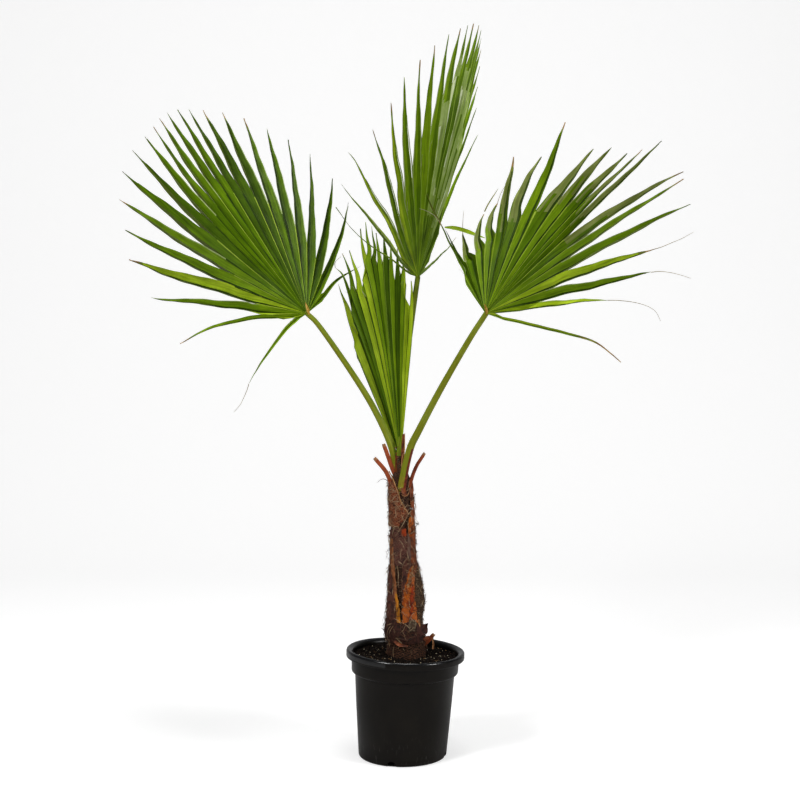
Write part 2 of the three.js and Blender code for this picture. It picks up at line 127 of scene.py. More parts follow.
def waves(tree: Tree, place: Socket, step_mm: float, bent: float, detail: float, fine: float = 1.0) -> Socket:
    """Adds bands that stand a step apart, more or less bent, and returns their height."""
    values = {"Vector": place, "Scale": WAVE_STEP / (step_mm * MM), "Distortion": bent, "Detail": detail,
              "Detail Scale": fine}
    return add_node(tree, "ShaderNodeTexWave", values).outputs["Fac"]


def mapped(tree: Tree, place: Socket, scale: Sequence[float], turn: Sequence[float] = (0, 0, 0)) -> Socket:
    """Adds a stretch and a turn of the coordinates that a pattern reads."""
    values = {"Vector": place, "Scale": Vector(scale), "Rotation": Vector(turn)}
    return add_node(tree, "ShaderNodeMapping", values).outputs["Vector"]


def spread(
    tree: Tree, value: Socket, low: float, high: float, least: float = 0.0, most: float = 1.0
) -> Socket:
    """Adds a change of range, from low and high to least and most, and returns the result."""
    values = {"Value": value, "From Min": low, "From Max": high, "To Min": least, "To Max": most}
    return add_node(tree, "ShaderNodeMapRange", values).outputs["Result"]


def blend(tree: Tree, share: Socket, first: object, second: object) -> Socket:
    """Adds a mix of two colours, each a socket or four numbers, and returns the mixed colour."""
    return add_node(tree, "ShaderNodeMix", {0: share, 6: first, 7: second}, data_type="RGBA").outputs[2]


def combine(tree: Tree, operation: str, first: object, second: object) -> Socket:
    """Adds a sum on two numbers and returns its result."""
    return add_node(tree, "ShaderNodeMath", {0: first, 1: second}, operation=operation).outputs["Value"]


def fraction(value: float) -> float:
    """Repeatable number from 0 to 1 for any value."""
    return (math.sin(value * 12.9898) * 43758.5453) % 1.0


def along(rows: Rows, place: float, column: int) -> float:
    """Smooth value of one column of rows whose first column is the place along them.

    Args:
        rows: Rows in rising order of their first column.
        place: Where to read.
        column: Which column to read.

    Returns:
        The value at that place.
    """
    k = 0
    while k < len(rows) - 2 and place > rows[k + 1][0]:
        k += 1

    def slope(j: int) -> float:
        """Slope of the column at row j."""
        before, after = rows[max(j - 1, 0)], rows[min(j + 1, len(rows) - 1)]
        return (after[column] - before[column]) / (after[0] - before[0])

    span = rows[k + 1][0] - rows[k][0]
    t = (place - rows[k][0]) / span
    t2, t3 = t * t, t * t * t
    return (
        (2 * t3 - 3 * t2 + 1) * rows[k][column]
        + (t3 - 2 * t2 + t) * span * slope(k)
        + (3 * t2 - 2 * t3) * rows[k + 1][column]
        + (t3 - t2) * span * slope(k + 1)
    )


def unit(lines: np.ndarray) -> np.ndarray:
    """Directions of lines, each with a length of one."""
    return lines / np.maximum(np.linalg.norm(lines, axis=-1, keepdims=True), 1e-9)


def unevenness(spot: Vector, layers: Rows) -> float:
    """Sum of layers of noise at a spot, each with its height and its fineness."""
    return sum(height * noise.noise(spot * fine) for height, fine in layers)


def lengths_along(path: np.ndarray) -> np.ndarray:
    """Distance of each point of a path from its start, measured along it."""
    return np.concatenate([[0], np.cumsum(np.linalg.norm(np.diff(path, axis=0), axis=1))])


def smooth_path(points: Rows, steps: int) -> np.ndarray:
    """Even steps along a smooth curve through points.

    Args:
        points: Corner points in millimetres.
        steps: How many spans the result has.

    Returns:
        Points on the curve, one row each.
    """
    rows = [[float(i), *p] for i, p in enumerate(points)]
    places = np.linspace(0, len(points) - 1, 40 * len(points))
    fine = np.array([[along(rows, t, c) for c in (1, 2, 3)] for t in places])
    lengths = lengths_along(fine)
    wanted = np.linspace(0, lengths[-1], steps + 1)
    return np.stack([np.interp(wanted, lengths, fine[:, c]) for c in range(3)], 1)


def link(name: str, mesh: bpy.types.Mesh) -> Piece:
    """Puts a mesh into the scene as one object."""
    piece = bpy.data.objects.new(name, mesh)
    bpy.context.scene.collection.objects.link(piece)
    return piece


def smooth(mesh: bpy.types.Mesh, sharp: float | None) -> None:
    """Shades a mesh smooth, but for edges sharper than some degrees where they are given."""
    mesh.shade_smooth()
    if sharp is not None:
        mesh.set_sharp_from_angle(angle=math.radians(sharp))


def make_mesh(name: str, points: np.ndarray, faces: Sequence, sharp: float | None = None) -> Piece:
    """Makes a closed mesh piece whose faces point outwards.

    Args:
        name: The piece's name.
        points: Corner points in millimetres.
        faces: Corner numbers of each face.
        sharp: Edges sharper than this many degrees stay sharp, or all are smooth.

    Returns:
        The new object, linked to the scene.
    """
    mesh = bpy.data.meshes.new(name)
    mesh.from_pydata((np.asarray(points, float) * MM).tolist(), [], [list(map(int, f)) for f in faces])
    work = bmesh.new()
    work.from_mesh(mesh)
    bmesh.ops.recalc_face_normals(work, faces=work.faces)
    work.to_mesh(mesh)
    work.free()
    smooth(mesh, sharp)
    return link(name, mesh)


def settle(piece: Piece, slot: str, *nodes: str) -> Piece:
    """Hands a finished piece to the frame.

    Args:
        piece: The finished mesh object.
        slot: Name of a material slot; it is not used.
        *nodes: The frame's nodes that it stands for.

    Returns:
        The same piece.
    """
    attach(piece, BODY)
    if nodes:
        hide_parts(*nodes)
    LOG.info("%s: %d faces", piece.name, len(piece.data.polygons))
    return piece


def tube_mesh(name: str, paths: Sequence[np.ndarray], radii: Sequence[Radius], sides: int) -> Piece:
    """Joins round closed strands along paths into one mesh piece.

    Args:
        name: The piece's name.
        paths: The middle line of each strand.
        radii: The radius of each strand as a function of the share of its length.
        sides: Corners of each round section.

    Returns:
        The new object.
    """
    points: list[np.ndarray] = []
    faces: list[list[int]] = []
    for path, radius in zip(paths, radii):
        start, count = len(points), len(path)
        ahead = unit(np.gradient(path, axis=0))
        side = np.cross(ahead[0], [0.31, 0.83, 0.46])
        for i in range(count):
            side = unit(side - ahead[i] * float(side @ ahead[i]))
            other = np.cross(ahead[i], side)
            r = radius(i / (count - 1))
            for s in range(sides):
                a = 2 * math.pi * s / sides
                points.append(path[i] + r * (math.cos(a) * side + math.sin(a) * other))
        for i in range(count - 1):
            for s in range(sides):
                a, b = start + i * sides + s, start + i * sides + (s + 1) % sides
                faces.append([a, b, b + sides, a + sides])
        faces.append([start + s for s in range(sides)][::-1])
        faces.append([start + (count - 1) * sides + s for s in range(sides)])
    return make_mesh(name, np.array(points), faces)


def dressed_tube(
    name: str, paths: Sequence[np.ndarray], radii: Sequence[Radius], sides: int, finish: "Finish", slot: str
) -> None:
    """Makes strands as `tube_mesh` does, in one finish, and settles them."""
    piece = tube_mesh(name, paths, radii, sides)
    piece.data.materials.append(finish.material())
    settle(piece, slot)


class Coordinates(Enum):
    """What a pattern follows."""

    OBJECT = "Object"
    SURFACE = "UV"


@dataclass(frozen=True)
class Finish:
    """A finish: a plain base colour, a second colour laid over it in patches, and a relief."""

    name: str
    colour: str
    patch: str
    roughness: float
    patch_mm: float = 40.0
    patch_share: float = 0.5
    relief_mm: float = 0.0
    grain_mm: float = 2.0
    specular: float = 0.22
    coat: float = 0.0

    def material(self) -> bpy.types.Material:
        """Returns this finish's material, made once."""
        found = bpy.data.materials.get(self.name)
        if found:
            return found
        made = bpy.data.materials.new(self.name)
        tree = empty_tree(made)
        colour, height, strength = self.pattern(tree)
        shader = add_node(tree, "ShaderNodeBsdfPrincipled", {
            "Base Color": colour, "Roughness": self.roughness, "Specular IOR Level": self.specular,
            "Coat Weight": self.coat,
        })
        if height is not None:
            values = {"Height": height, "Distance": self.relief_mm * MM, "Strength": strength}
            bump = add_node(tree, "ShaderNodeBump", values)
            tree.links.new(bump.outputs["Normal"], shader.inputs["Normal"])
        add_node(tree, "ShaderNodeOutputMaterial", {"Surface": shader.outputs["BSDF"]})
        return made

    def place(self, tree: Tree, source: Coordinates = Coordinates.OBJECT) -> Socket:
        """Returns the coordinates that a pattern reads."""
        return add_node(tree, "ShaderNodeTexCoord").outputs[source.value]

    def patches(self, tree: Tree) -> Socket:
        """Returns the two colours mixed in soft patches."""
        spots = soft_noise(tree, self.place(tree), 1000 / self.patch_mm, 4.0, 0.6)
        share = spread(tree, spots, 0.65 - self.patch_share * 0.4, 0.85 - self.patch_share * 0.4)
        return blend(tree, share, linear(self.colour), linear(self.patch))

    def shaded(self, tree: Tree, streaks: Socket, reach: float, by: float) -> Socket:
        """Returns the patches, made lighter and darker by a pattern.

        Args:
            tree: The material's node tree.
            streaks: Height of the pattern.
            reach: How far from its middle height the pattern counts.
            by: The most by which the colour changes, as a share.

        Returns:
            The shaded colour.
        """
        level = spread(tree, streaks, 0.5 - reach, 0.5 + reach, 1.0 - by, 1.0 + by)
        values = {0: self.patches(tree), "Scale": level}
        return add_node(tree, "ShaderNodeVectorMath", values, operation="SCALE").outputs["Vector"]

    def pattern(self, tree: Tree) -> tuple[Socket, Socket | None, float]:
        """Builds what the finish shows: here its patches over a fine grain.

        Args:
            tree: The material's node tree.

        Returns:
            The colour, the height of the relief or none, and the strength of the relief.
        """
        if self.relief_mm <= 0:
            return self.patches(tree), None, 0.0
        return self.patches(tree), soft_noise(tree, self.place(tree), 1000 / self.grain_mm, 3.0), 1.0


@dataclass(frozen=True)
class LeafFinish(Finish):
    """Living leaf blade: waxy, with parallel veins that run out along each leaflet.

    Real veins stand about 0.8 mm apart; they are drawn every 2 mm so that they show.
    """

    patch_mm: float = 70.0
    relief_mm: float = 0.16
    specular: float = 0.07
    vein_mm: float = 2.0
    vein_shade: float = 0.4

    def pattern(self, tree: Tree) -> tuple[Socket, Socket | None, float]:
        """Builds long streaks and fine veins over the patches; see `Finish.pattern`."""
        surface = self.place(tree, Coordinates.SURFACE)
        streaks = soft_noise(tree, mapped(tree, surface, (330.0, 9.0, 1.0)), 1.0, 3.0, 0.65)
        colour = self.shaded(tree, streaks, 0.2, self.vein_shade)
        return colour, waves(tree, surface, self.vein_mm, 0.4, 1.0), 0.6


@dataclass(frozen=True)
class WovenFinish(Finish):
    """Dry leaf sheath: coarse fibres that cross like sacking, over a papery ground.

    Real fibres are 0.4 mm thick; they are drawn every `thread_mm` so that they show.
    """

    relief_mm: float = 1.2
    thread_mm: float = 2.4
    thread: str = "6b3a22"
    thread_share: float = 0.5
    thread_turns: tuple[float, float] = (58.0, 118.0)

    def pattern(self, tree: Tree) -> tuple[Socket, Socket | None, float]:
        """Builds two crossing sets of threads over the patches; see `Finish.pattern`."""
        surface = self.place(tree, Coordinates.SURFACE)
        sets = []
        for turn in self.thread_turns:
            turned = mapped(tree, surface, (1, 1, 1), (0, 0, math.radians(turn)))
            sets.append(waves(tree, turned, self.thread_mm, 7.0, 3.0, 1.6))
        crossed = combine(tree, "MAXIMUM", *sets)
        share = spread(tree, crossed, 1.0 - self.thread_share, 1.0)
        return blend(tree, share, self.patches(tree), linear(self.thread)), crossed, 1.0


@dataclass(frozen=True)
class StrandedFinish(Finish):
    """Long-fibred stalk or strip: glossy fibres lie side by side along its length."""

    patch_mm: float = 12.0
    relief_mm: float = 0.3
    strand_mm: float = 1.6
    strand_shade: float = 0.45

    def pattern(self, tree: Tree) -> tuple[Socket, Socket | None, float]:
        """Builds long strands over the patches; see `Finish.pattern`."""
        across = 1000 / self.strand_mm
        surface = mapped(tree, self.place(tree, Coordinates.SURFACE), (across, across * 0.04, 1.0))
        strands = soft_noise(tree, surface, 1.0, 4.0, 0.7)
        return self.shaded(tree, strands, 0.25, self.strand_shade), strands, 1.0


@dataclass(frozen=True)
class MouldedFinish(Finish):
    """Moulded polypropylene, filled black: a soft gloss, a fine skin, dusty scuffs near the foot."""

    patch_mm: float = 60.0
    grain_mm: float = 1.5
    scuff: str = "3c3a37"
    scuff_top_mm: float = 70.0

    def pattern(self, tree: Tree) -> tuple[Socket, Socket | None, float]:
        """Builds scuffs that thin out upward over a fine moulded skin; see `Finish.pattern`."""
        spot = self.place(tree)
        scratches = soft_noise(tree, mapped(tree, spot, (260.0, 260.0, 60.0), (0.3, 0.2, 0.0)), 1.0, 6.0)
        height = add_node(tree, "ShaderNodeSeparateXYZ", {"Vector": spot}).outputs["Z"]
        low = spread(tree, height, self.scuff_top_mm * MM, 0.0, 0.0, 0.75)
        worn = combine(tree, "MULTIPLY", spread(tree, scratches, 0.6, 0.7), low)
        colour = blend(tree, worn, self.patches(tree), linear(self.scuff))
        return colour, soft_noise(tree, spot, 1000 / self.grain_mm, 2.0), 0.5


# Black polypropylene gives a warm near-black with a soft, broad gloss
POT_PLASTIC = MouldedFinish(
    "moulded_black_polypropylene", "0e0a06", "14100a", 0.32, relief_mm=0.05, specular=0.17,
)
# The rolled lip is rubbed by hands, which gives it a tighter, colder shine
LIP_PLASTIC = MouldedFinish(
    "rubbed_black_polypropylene", "080809", "0e0e10", 0.22, relief_mm=0.04, specular=0.5,
)
# Damp peat gives a matt brown-black that swallows light
PEAT = Finish("damp_peat", "060403", "110b07", 0.95, 9, relief_mm=0.8, grain_mm=3, specular=0.1)
CRUMB = Finish("peat_crumb", "0a0604", "20160e", 0.95, 5, specular=0.12)
CHIP = Finish("bark_chip", "4a3420", "8a6a42", 0.85, 4, relief_mm=0.2, grain_mm=1.2)
PERLITE = Finish("expanded_perlite", "a8987a", "e0d8c0", 0.9, 3, relief_mm=0.2, grain_mm=0.8)

# Living blades: waxy green over parallel veins, soft gloss; the deep, middle, light and young greens are also
# dealt out as painted light and shade
DEEP = LeafFinish("blade_deep_green", "385002", "425c04", 0.42)
MIDDLE = LeafFinish("blade_green", "496502", "577304", 0.42)
BRIGHT = LeafFinish("blade_light_green", "63800a", "738f0e", 0.45)
YOUNG = LeafFinish("young_blade_green", "8aa218", "a0b628", 0.45)
# Painted sheen: pale greens laid on one side of the folds in place of the bright reflection there, the
# fainter one round the full one
PAINTED_SHEEN = LeafFinish("waxy_bloom_green", "b8c292", "d2dabc", 0.5, 60)
FAINT_PAINTED_SHEEN = LeafFinish("thin_bloom_green", "7c9244", "98a868", 0.5, 60)
DULL = LeafFinish("blade_dull_green", "6d7838", "7c8646", 0.5, 50)
# Painted shade: a darker copy of the dull green for one side of each fold
DULL_PAINTED_SHADE = LeafFinish("blade_dull_dark_green", "4a5818", "586628", 0.5, 50)
UNDER = LeafFinish("blade_underside", "5a6c12", "6a7c1e", 0.5, 60)
# Painted shade: a dark green laid in the valleys of the folds
PAINTED_CREASE_SHADE = LeafFinish("blade_crease", "263a02", "304602", 0.5, 60, relief_mm=0.1)
# Ribs, margins, dying tips and threads of the blades: drier and paler than the blade itself; the pale line
# along the ridges of the folds is a painted highlight
RIB = Finish("leaf_rib", "7a9430", "8fa842", 0.45, 30, specular=0.1)
# Painted highlight: a pale green along the ridges of the folds, where they catch the light
PAINTED_RIDGE_HIGHLIGHT = Finish("blade_seam", "7f9526", "93a838", 0.5, 30, specular=0.1)
RIM = Finish("leaf_margin", "8a9c5a", "a3b074", 0.5, 20)
FADING = Finish("fading_tip", "6f7a2c", "8a8438", 0.55, 15)
DRY = Finish("dry_tip", "8a6a3c", "a98a58", 0.7, 8, relief_mm=0.1, grain_mm=1)
THREAD = Finish("leaf_thread", "8f866c", "b3ab92", 0.75, 12)
HUB = Finish("leaf_hub_crest", "a07a2a", "c9a552", 0.6, 5, relief_mm=0.2, grain_mm=1.5)

# Leaf stalks: smooth skin over long fibres, with a red-brown horny margin
STALK = StrandedFinish(
    "stalk_skin", "7c821c", "88922c", 0.42, 60, relief_mm=0.12, strand_mm=2.4, strand_shade=0.3, specular=0.1,
)
CHANNEL = StrandedFinish(
    "stalk_channel", "6a781c", "7e882a", 0.5, 60, relief_mm=0.12, strand_mm=2.4, strand_shade=0.35,
    specular=0.1,
)
STALK_FOOT = StrandedFinish(
    "stalk_foot", "86801c", "7a5c18", 0.45, relief_mm=0.15, strand_mm=2.4, strand_shade=0.4,
)
BACK_STALK = StrandedFinish(
    "shaded_stalk_skin", "56661a", "647424", 0.5, 60, relief_mm=0.12, strand_shade=0.15, specular=0.08,
)
YOUNG_STALK = StrandedFinish(
    "young_stalk_skin", "6c8a10", "86a01c", 0.45, 30, strand_mm=3.0, strand_shade=0.4, specular=0.1,
)
TOOTH = Finish("stalk_tooth", "5e200e", "8a3c1a", 0.5, 8)
STUB = StrandedFinish("dry_stalk", "a04c28", "74331a", 0.6, 14, strand_mm=1.2)
CUT = StrandedFinish("dry_stalk_end", "a87850", "7c4c2c", 0.8, 3, strand_mm=0.8)

# Trunk: dry sheaths of palm fibre in layers, woven like sacking and matt
# The core shows in the gaps between the sheaths; its dark brown is made darker still, which paints the shade
# in those gaps
CORE = WovenFinish(
    "trunk_fibre_mat", "22140e", "120b08", 0.9, 14, thread_mm=4.4, thread="5c3c2a", thread_share=0.3,
)
SHEATH = WovenFinish(
    "woven_sheath", "76351b", "30140d", 0.72, 9, thread_mm=5.0, thread="a86c48", thread_share=0.12,
)
DARK_SHEATH = WovenFinish(
    "dark_woven_sheath", "4a241c", "1e100d", 0.8, 11, thread_mm=4.0, thread="80594a", thread_share=0.14,
)
MAT = WovenFinish(
    "dark_hair_mat", "1c120d", "3a281c", 0.9, 6, thread_mm=3.0, thread="6e563e", thread_share=0.25,
)
ASH = WovenFinish(
    "grey_sheath_scrap", "54493a", "3a3024", 0.9, 5, relief_mm=0.6, thread_mm=1.8, thread="7a6a54",
    thread_share=0.3,
)
# Peeled strips of the sheaths: long straight fibres, glossy where they are fresh and orange
BOOT = StrandedFinish(
    "old_leaf_foot", "40221a", "1c100c", 0.8, 10, relief_mm=0.8, strand_mm=2.6, strand_shade=0.6,
)
ORANGE = StrandedFinish("peeled_orange_strip", "b4580c", "742c08", 0.38, 16, relief_mm=0.35, coat=0.2)
YELLOW = StrandedFinish("peeled_yellow_strip", "b8741a", "8a4a14", 0.4, 10)
GREY_STRIP = StrandedFinish("weathered_strip", "6a5044", "5a3a2e", 0.75)
HEM = StrandedFinish("sheath_hem", "b08050", "8a5a34", 0.6, 10, relief_mm=0.2, strand_mm=0.9)
RUST = StrandedFinish("rust_brown_strip", "80401e", "3e1c10", 0.55, 14)
RED_SPOT = StrandedFinish("red_orange_strip", "a03a0e", "7a2408", 0.45)
TAN_STRIP = StrandedFinish("tan_strip", "9a6038", "7a4628", 0.55)
PLUM_STRIP = StrandedFinish(
    "purple_brown_strip", "5a3428", "2a1714", 0.7, relief_mm=0.8, strand_shade=0.6,
)
# Loose fibres, strings and fluff: dry and matt
FIBRE = Finish("palm_fibre", "3a241a", "6a4630", 0.8, 10)
STRING = Finish("pale_fibre_string", "b49a78", "8a6a4a", 0.7, 10)
FLUFF = Finish("grey_fluff", "b9b4ac", "8f8880", 0.9, 6)


def apply(owner: Piece, modifier: bpy.types.Modifier) -> bpy.types.Mesh:
    """Returns the mesh that a modifier makes of an object, and takes the modifier off."""
    graph = bpy.context.evaluated_depsgraph_get()
    mesh = bpy.data.meshes.new_from_object(owner.evaluated_get(graph))
    owner.modifiers.remove(modifier)
    return mesh


@dataclass
class Scatter:
    """Strews copies of a small shape over a surface, and keeps the result as one plain mesh.

    Args:
        name: Name of the piece.
        density: Copies per square metre.
        smallest: Least scale of a copy.
        largest: Greatest scale of a copy.
        lift_mm: How far the copies stand off the surface.
        lying: Whether copies lie along the surface instead of facing any way.
        seed: Fixed seed of the strewing.
        lying_tilt: Most that a lying copy tilts, in radians.
    """

    name: str
    density: float
    smallest: float
    largest: float
    lift_mm: float = 0.0
    lying: bool = False
    seed: int = 3
    lying_tilt: float = 0.25

    def tree(self, shape: Piece, finish: bpy.types.Material) -> Tree:
        """Builds the node tree.

        Args:
            shape: The small shape that is copied.
            finish: The material of the copies.

        Returns:
            The tree, with inputs named Density, Smallest, Largest and Seed.
        """
        tree = bpy.data.node_groups.new(self.name + "_tree", "GeometryNodeTree")
        for label, kind, way in (
            ("Ground", "NodeSocketGeometry", "INPUT"), ("Density", "NodeSocketFloat", "INPUT"),
            ("Smallest", "NodeSocketFloat", "INPUT"), ("Largest", "NodeSocketFloat", "INPUT"),
            ("Seed", "NodeSocketInt", "INPUT"), ("Copies", "NodeSocketGeometry", "OUTPUT"),
        ):
            tree.interface.new_socket(name=label, in_out=way, socket_type=kind)
        given = add_node(tree, "NodeGroupInput").outputs
        dots = add_node(
            tree, "GeometryNodeDistributePointsOnFaces",
            {"Mesh": given["Ground"], "Density": given["Density"], "Seed": given["Seed"]},
        )
        size = add_node(
            tree, "FunctionNodeRandomValue",
            {2: given["Smallest"], 3: given["Largest"], "Seed": given["Seed"]}, data_type="FLOAT",
        )
        spin = add_node(
            tree, "FunctionNodeRandomValue", {"Seed": given["Seed"]}, data_type="FLOAT_VECTOR"
        )
        tilt = self.lying_tilt if self.lying else math.pi
        spin.inputs[0].default_value = (-tilt, -tilt, -math.pi)
        spin.inputs[1].default_value = (tilt, tilt, math.pi)
        turned = add_node(
            tree, "FunctionNodeRotateRotation",
            {"Rotation": dots.outputs["Rotation"], "Rotate By": spin.outputs["Value"]},
            rotation_space="LOCAL",
        )
        source = add_node(tree, "GeometryNodeObjectInfo", {"Object": shape})
        copies = add_node(
            tree, "GeometryNodeInstanceOnPoints",
            {"Points": dots.outputs["Points"], "Instance": source.outputs["Geometry"],
             "Rotation": turned.outputs["Rotation"], "Scale": size.outputs[1]},
        )
        lift = add_node(
            tree, "GeometryNodeTranslateInstances",
            {"Instances": copies.outputs["Instances"], "Translation": Vector((0, 0, self.lift_mm * MM))},
        )
        real = add_node(tree, "GeometryNodeRealizeInstances", {"Geometry": lift.outputs["Instances"]})
        dressed = add_node(
            tree, "GeometryNodeSetMaterial", {"Geometry": real.outputs["Geometry"], "Material": finish}
        )
        add_node(tree, "NodeGroupOutput", {"Copies": dressed.outputs["Geometry"]})
        return tree

    def strew(self, ground: Piece, shape: Piece, finish: bpy.types.Material) -> Piece:
        """Runs the tree on a surface.

        Args:
            ground: The surface; it is left as it is.
            shape: The small shape, removed afterwards.
            finish: The material of the copies.

        Returns:
            The strewn copies as one mesh object.
        """
        tree = self.tree(shape, finish)
        modifier = ground.modifiers.new(self.name, "NODES")
        modifier.node_group = tree
        values = {"Density": self.density, "Smallest": self.smallest, "Largest": self.largest,
                  "Seed": self.seed}
        for item in tree.interface.items_tree:
            if item.item_type == "SOCKET" and item.in_out == "INPUT" and item.name in values:
                modifier[item.identifier] = values[item.name]
        mesh = apply(ground, modifier)
        mesh.name = self.name
        bpy.data.objects.remove(shape)
        return link(self.name, mesh)


def lump(name: str, size_mm: Sequence[float], rough: float, seed: float, level: int) -> Piece:
    """Makes a small uneven lump to strew.

    Args:
        name: Its name.
        size_mm: Half sizes along X, Y and Z.
        rough: How uneven it is, from 0 to 1.
        seed: Any number.
        level: How finely it is divided.

    Returns:
        The lump, hidden from the render.
    """
    work = bmesh.new()
    bmesh.ops.create_icosphere(work, subdivisions=level, radius=1.0)
    for vertex in work.verts:
        push = 1 + rough * noise.noise(vertex.co * 1.7 + Vector((seed, 2 * seed, 0)))
        vertex.co = Vector([c * s * MM * push for c, s in zip(vertex.co, size_mm)])
    mesh = bpy.data.meshes.new(name)
    work.to_mesh(mesh)
    work.free()
    piece = link(name, mesh)
    piece.hide_render = True
    return piece


@dataclass
class Pot:
    """The 24 cm nursery container: rolled lip, skirt, band, tapering wall and drain notches.

    Args:
        lean: How far the wall leans aside at its top.
        rim_dip: How far the lip dips on its right side, and rises on its left.
        lip: Half width and half height of the lip's roll.
        lip_turn: How far round the roll goes, in radians.
        notch_turn: Degrees round the pot to the first drain notch.
        seam_turn: Degrees round the pot to the mould seam.
        seam: How far the seam stands out.
        seam_half: Half the width of the seam, in degrees.
    """

    height: float = 218.0
    base_radius: float = 90.0
    body_radius: float = 101.5
    band_radius: float = 108.5
    rim_radius: float = 120.0
    band_bottom: float = 172.0
    skirt_bottom: float = 203.0
    wall: float = 2.2
    floor: float = 3.0
    corner: float = 6.0
    lean: float = 6.0
    rim_dip: float = 4.5
    lip: Sequence[float] = (4.2, 4.4)
    lip_turn: float = 2.2
    notch_count: int = 4
    notch_width: float = 18.0
    notch_height: float = 12.0
    notch_depth: float = 7.0
    notch_turn: float = -104.5
    seam_turn: float = -92.0
    seam: float = 0.35
    seam_half: float = 0.7
    sharp: float = 50.0
    sides: int = 224

    def settle_point(self, x: float, y: float, z: float) -> tuple[float, float, float]:
        """Moves a point with the pot's lean and the dip of its lip."""
        up = max(z, 0.0) / self.height
        return x + self.lean * up, y, z - self.rim_dip * (x / self.rim_radius) * up * up

    def outline(self) -> list[tuple[float, float]]:
        """Returns radius and height round the wall, from the axis out, over the lip and back."""
        # Each offset below rounds an edge by a millimetre or two, or eases a wall into its taper
        h, rim, band = self.height, self.rim_radius, self.band_radius
        wide, tall = self.lip
        lip = [(rim - wide + wide * math.cos(a), h - tall + tall * math.sin(a))
               for a in np.linspace(0, self.lip_turn, 8)]
        corner = [
            (self.base_radius - self.corner + self.corner * math.sin(a), self.corner * (1 - math.cos(a)))
            for a in np.linspace(0, math.pi / 2, 7)
        ]
        return [
            (0, 0), (self.base_radius * 0.6, 0), *corner,
            (self.base_radius + 4, 60), (self.base_radius + 8, 115),
            (self.body_radius - 0.2, self.band_bottom - 3), (self.body_radius + 0.6, self.band_bottom - 0.5),
            (band - 1.6, self.band_bottom + 1.4), (band - 0.4, self.band_bottom + 3),
            (band, self.band_bottom + 6), (band + 0.7, self.skirt_bottom), (band + 1, h - 8),
            (rim - self.wall - 2, h - 7), (rim - self.wall - 0.6, self.skirt_bottom + 2),
            (rim - self.wall, self.skirt_bottom + 0.4), (rim - 1, self.skirt_bottom - 0.2),
            (rim - 0.2, self.skirt_bottom + 0.8), (rim, self.skirt_bottom + 3), *lip,
            (rim - 9, h - 1.6), (band - self.wall + 1, h - 4), (band - self.wall, h - 9),
            (band - self.wall, self.band_bottom + 8), (self.body_radius - self.wall, self.band_bottom),
            (self.base_radius - self.wall, self.corner + 1), (self.base_radius - self.corner - 1, self.floor),
            (0, self.floor),
        ]

    def shell(self) -> Piece:
        """Returns the turned wall and floor, closed at both poles."""
        outline = self.outline()
        points = [(0.0, 0.0, outline[0][1])]
        for r, z in outline[1:-1]:
            for s in range(self.sides):
                a = 2 * math.pi * s / self.sides
                r_here, z_here = self.warp(r, z, a)
                points.append(self.settle_point(r_here * math.cos(a), r_here * math.sin(a), z_here))
        points.append((0.0, 0.0, outline[-1][1]))
        faces = []
        rings, n = len(outline) - 2, self.sides
        for s in range(n):
            t = (s + 1) % n
            faces.append([0, 1 + s, 1 + t])
            for r in range(rings - 1):
                a, b = 1 + r * n + s, 1 + r * n + t
                faces.append([a, b, b + n, a + n])
            last = 1 + (rings - 1) * n
            faces.append([len(points) - 1, last + t, last + s])
        return make_mesh("pot", np.array(points), faces, sharp=self.sharp)

    def warp(self, r: float, z: float, angle: float) -> tuple[float, float]:
        """Lets the lip wave a little and raises the fine mould seam.

        Args:
            r: Radius of the point.
            z: Its height.
            angle: Its angle round the pot, in radians.

        Returns:
            The warped radius and height.
        """
        high = max(0.0, (z - self.band_bottom) / (self.height - self.band_bottom))
        wave = 0.9 * math.sin(2 * angle + 0.7) + 0.45 * math.sin(5 * angle + 1.9)
        near = math.degrees(angle) - (self.seam_turn % 360)
        on_band = self.band_bottom < z < self.skirt_bottom + 1
        seam = self.seam * math.exp(-((near / self.seam_half) ** 2)) if on_band else 0.0
        return r + 0.5 * wave * high * (r / self.rim_radius) + seam, z + 0.7 * wave * high * high

    def notch_cutter(self) -> Piece:
        """Returns the rounded cutters of the drain notches as one object."""
        work = bmesh.new()
        for i in range(self.notch_count):
            turn = math.radians(self.notch_turn) + i * 2 * math.pi / self.notch_count
            place = (
                Matrix.Rotation(turn, 4, "Z") @ Matrix.Translation((self.base_radius * MM, 0, 0))
                @ Matrix.Diagonal((1, 1, self.notch_height / (self.notch_width / 2), 1))
                @ Matrix.Rotation(math.pi / 2, 4, "Y")
            )
            bmesh.ops.create_cone(
                work, cap_ends=True, segments=28, radius1=self.notch_width / 2 * MM,
                radius2=self.notch_width / 2 * MM, depth=self.notch_depth * 2 * MM, matrix=place,
            )
        mesh = bpy.data.meshes.new("notch_cutter")
        work.to_mesh(mesh)
        work.free()
        return link("notch_cutter", mesh)

    def build(self) -> None:
        """Makes the pot, cuts its notches and hands it over."""
        shell = self.shell()
        cutter = self.notch_cutter()
        cut = shell.modifiers.new("notches", "BOOLEAN")
        cut.operation, cut.solver, cut.object = "DIFFERENCE", "EXACT", cutter
        mesh = shell.data = apply(shell, cut)
        bpy.data.objects.remove(cutter)
        mesh.materials.clear()
        for finish in (POT_PLASTIC, LIP_PLASTIC):
            mesh.materials.append(finish.material())
        for face in mesh.polygons:
            x, y, z = (c / MM for c in face.center)
            rolled = z > self.height - 7 and math.hypot(x - self.lean, y) > self.band_radius
            face.material_index = int(rolled)
        smooth(mesh, self.sharp)
        settle(shell, "pot_plastic", "pot")


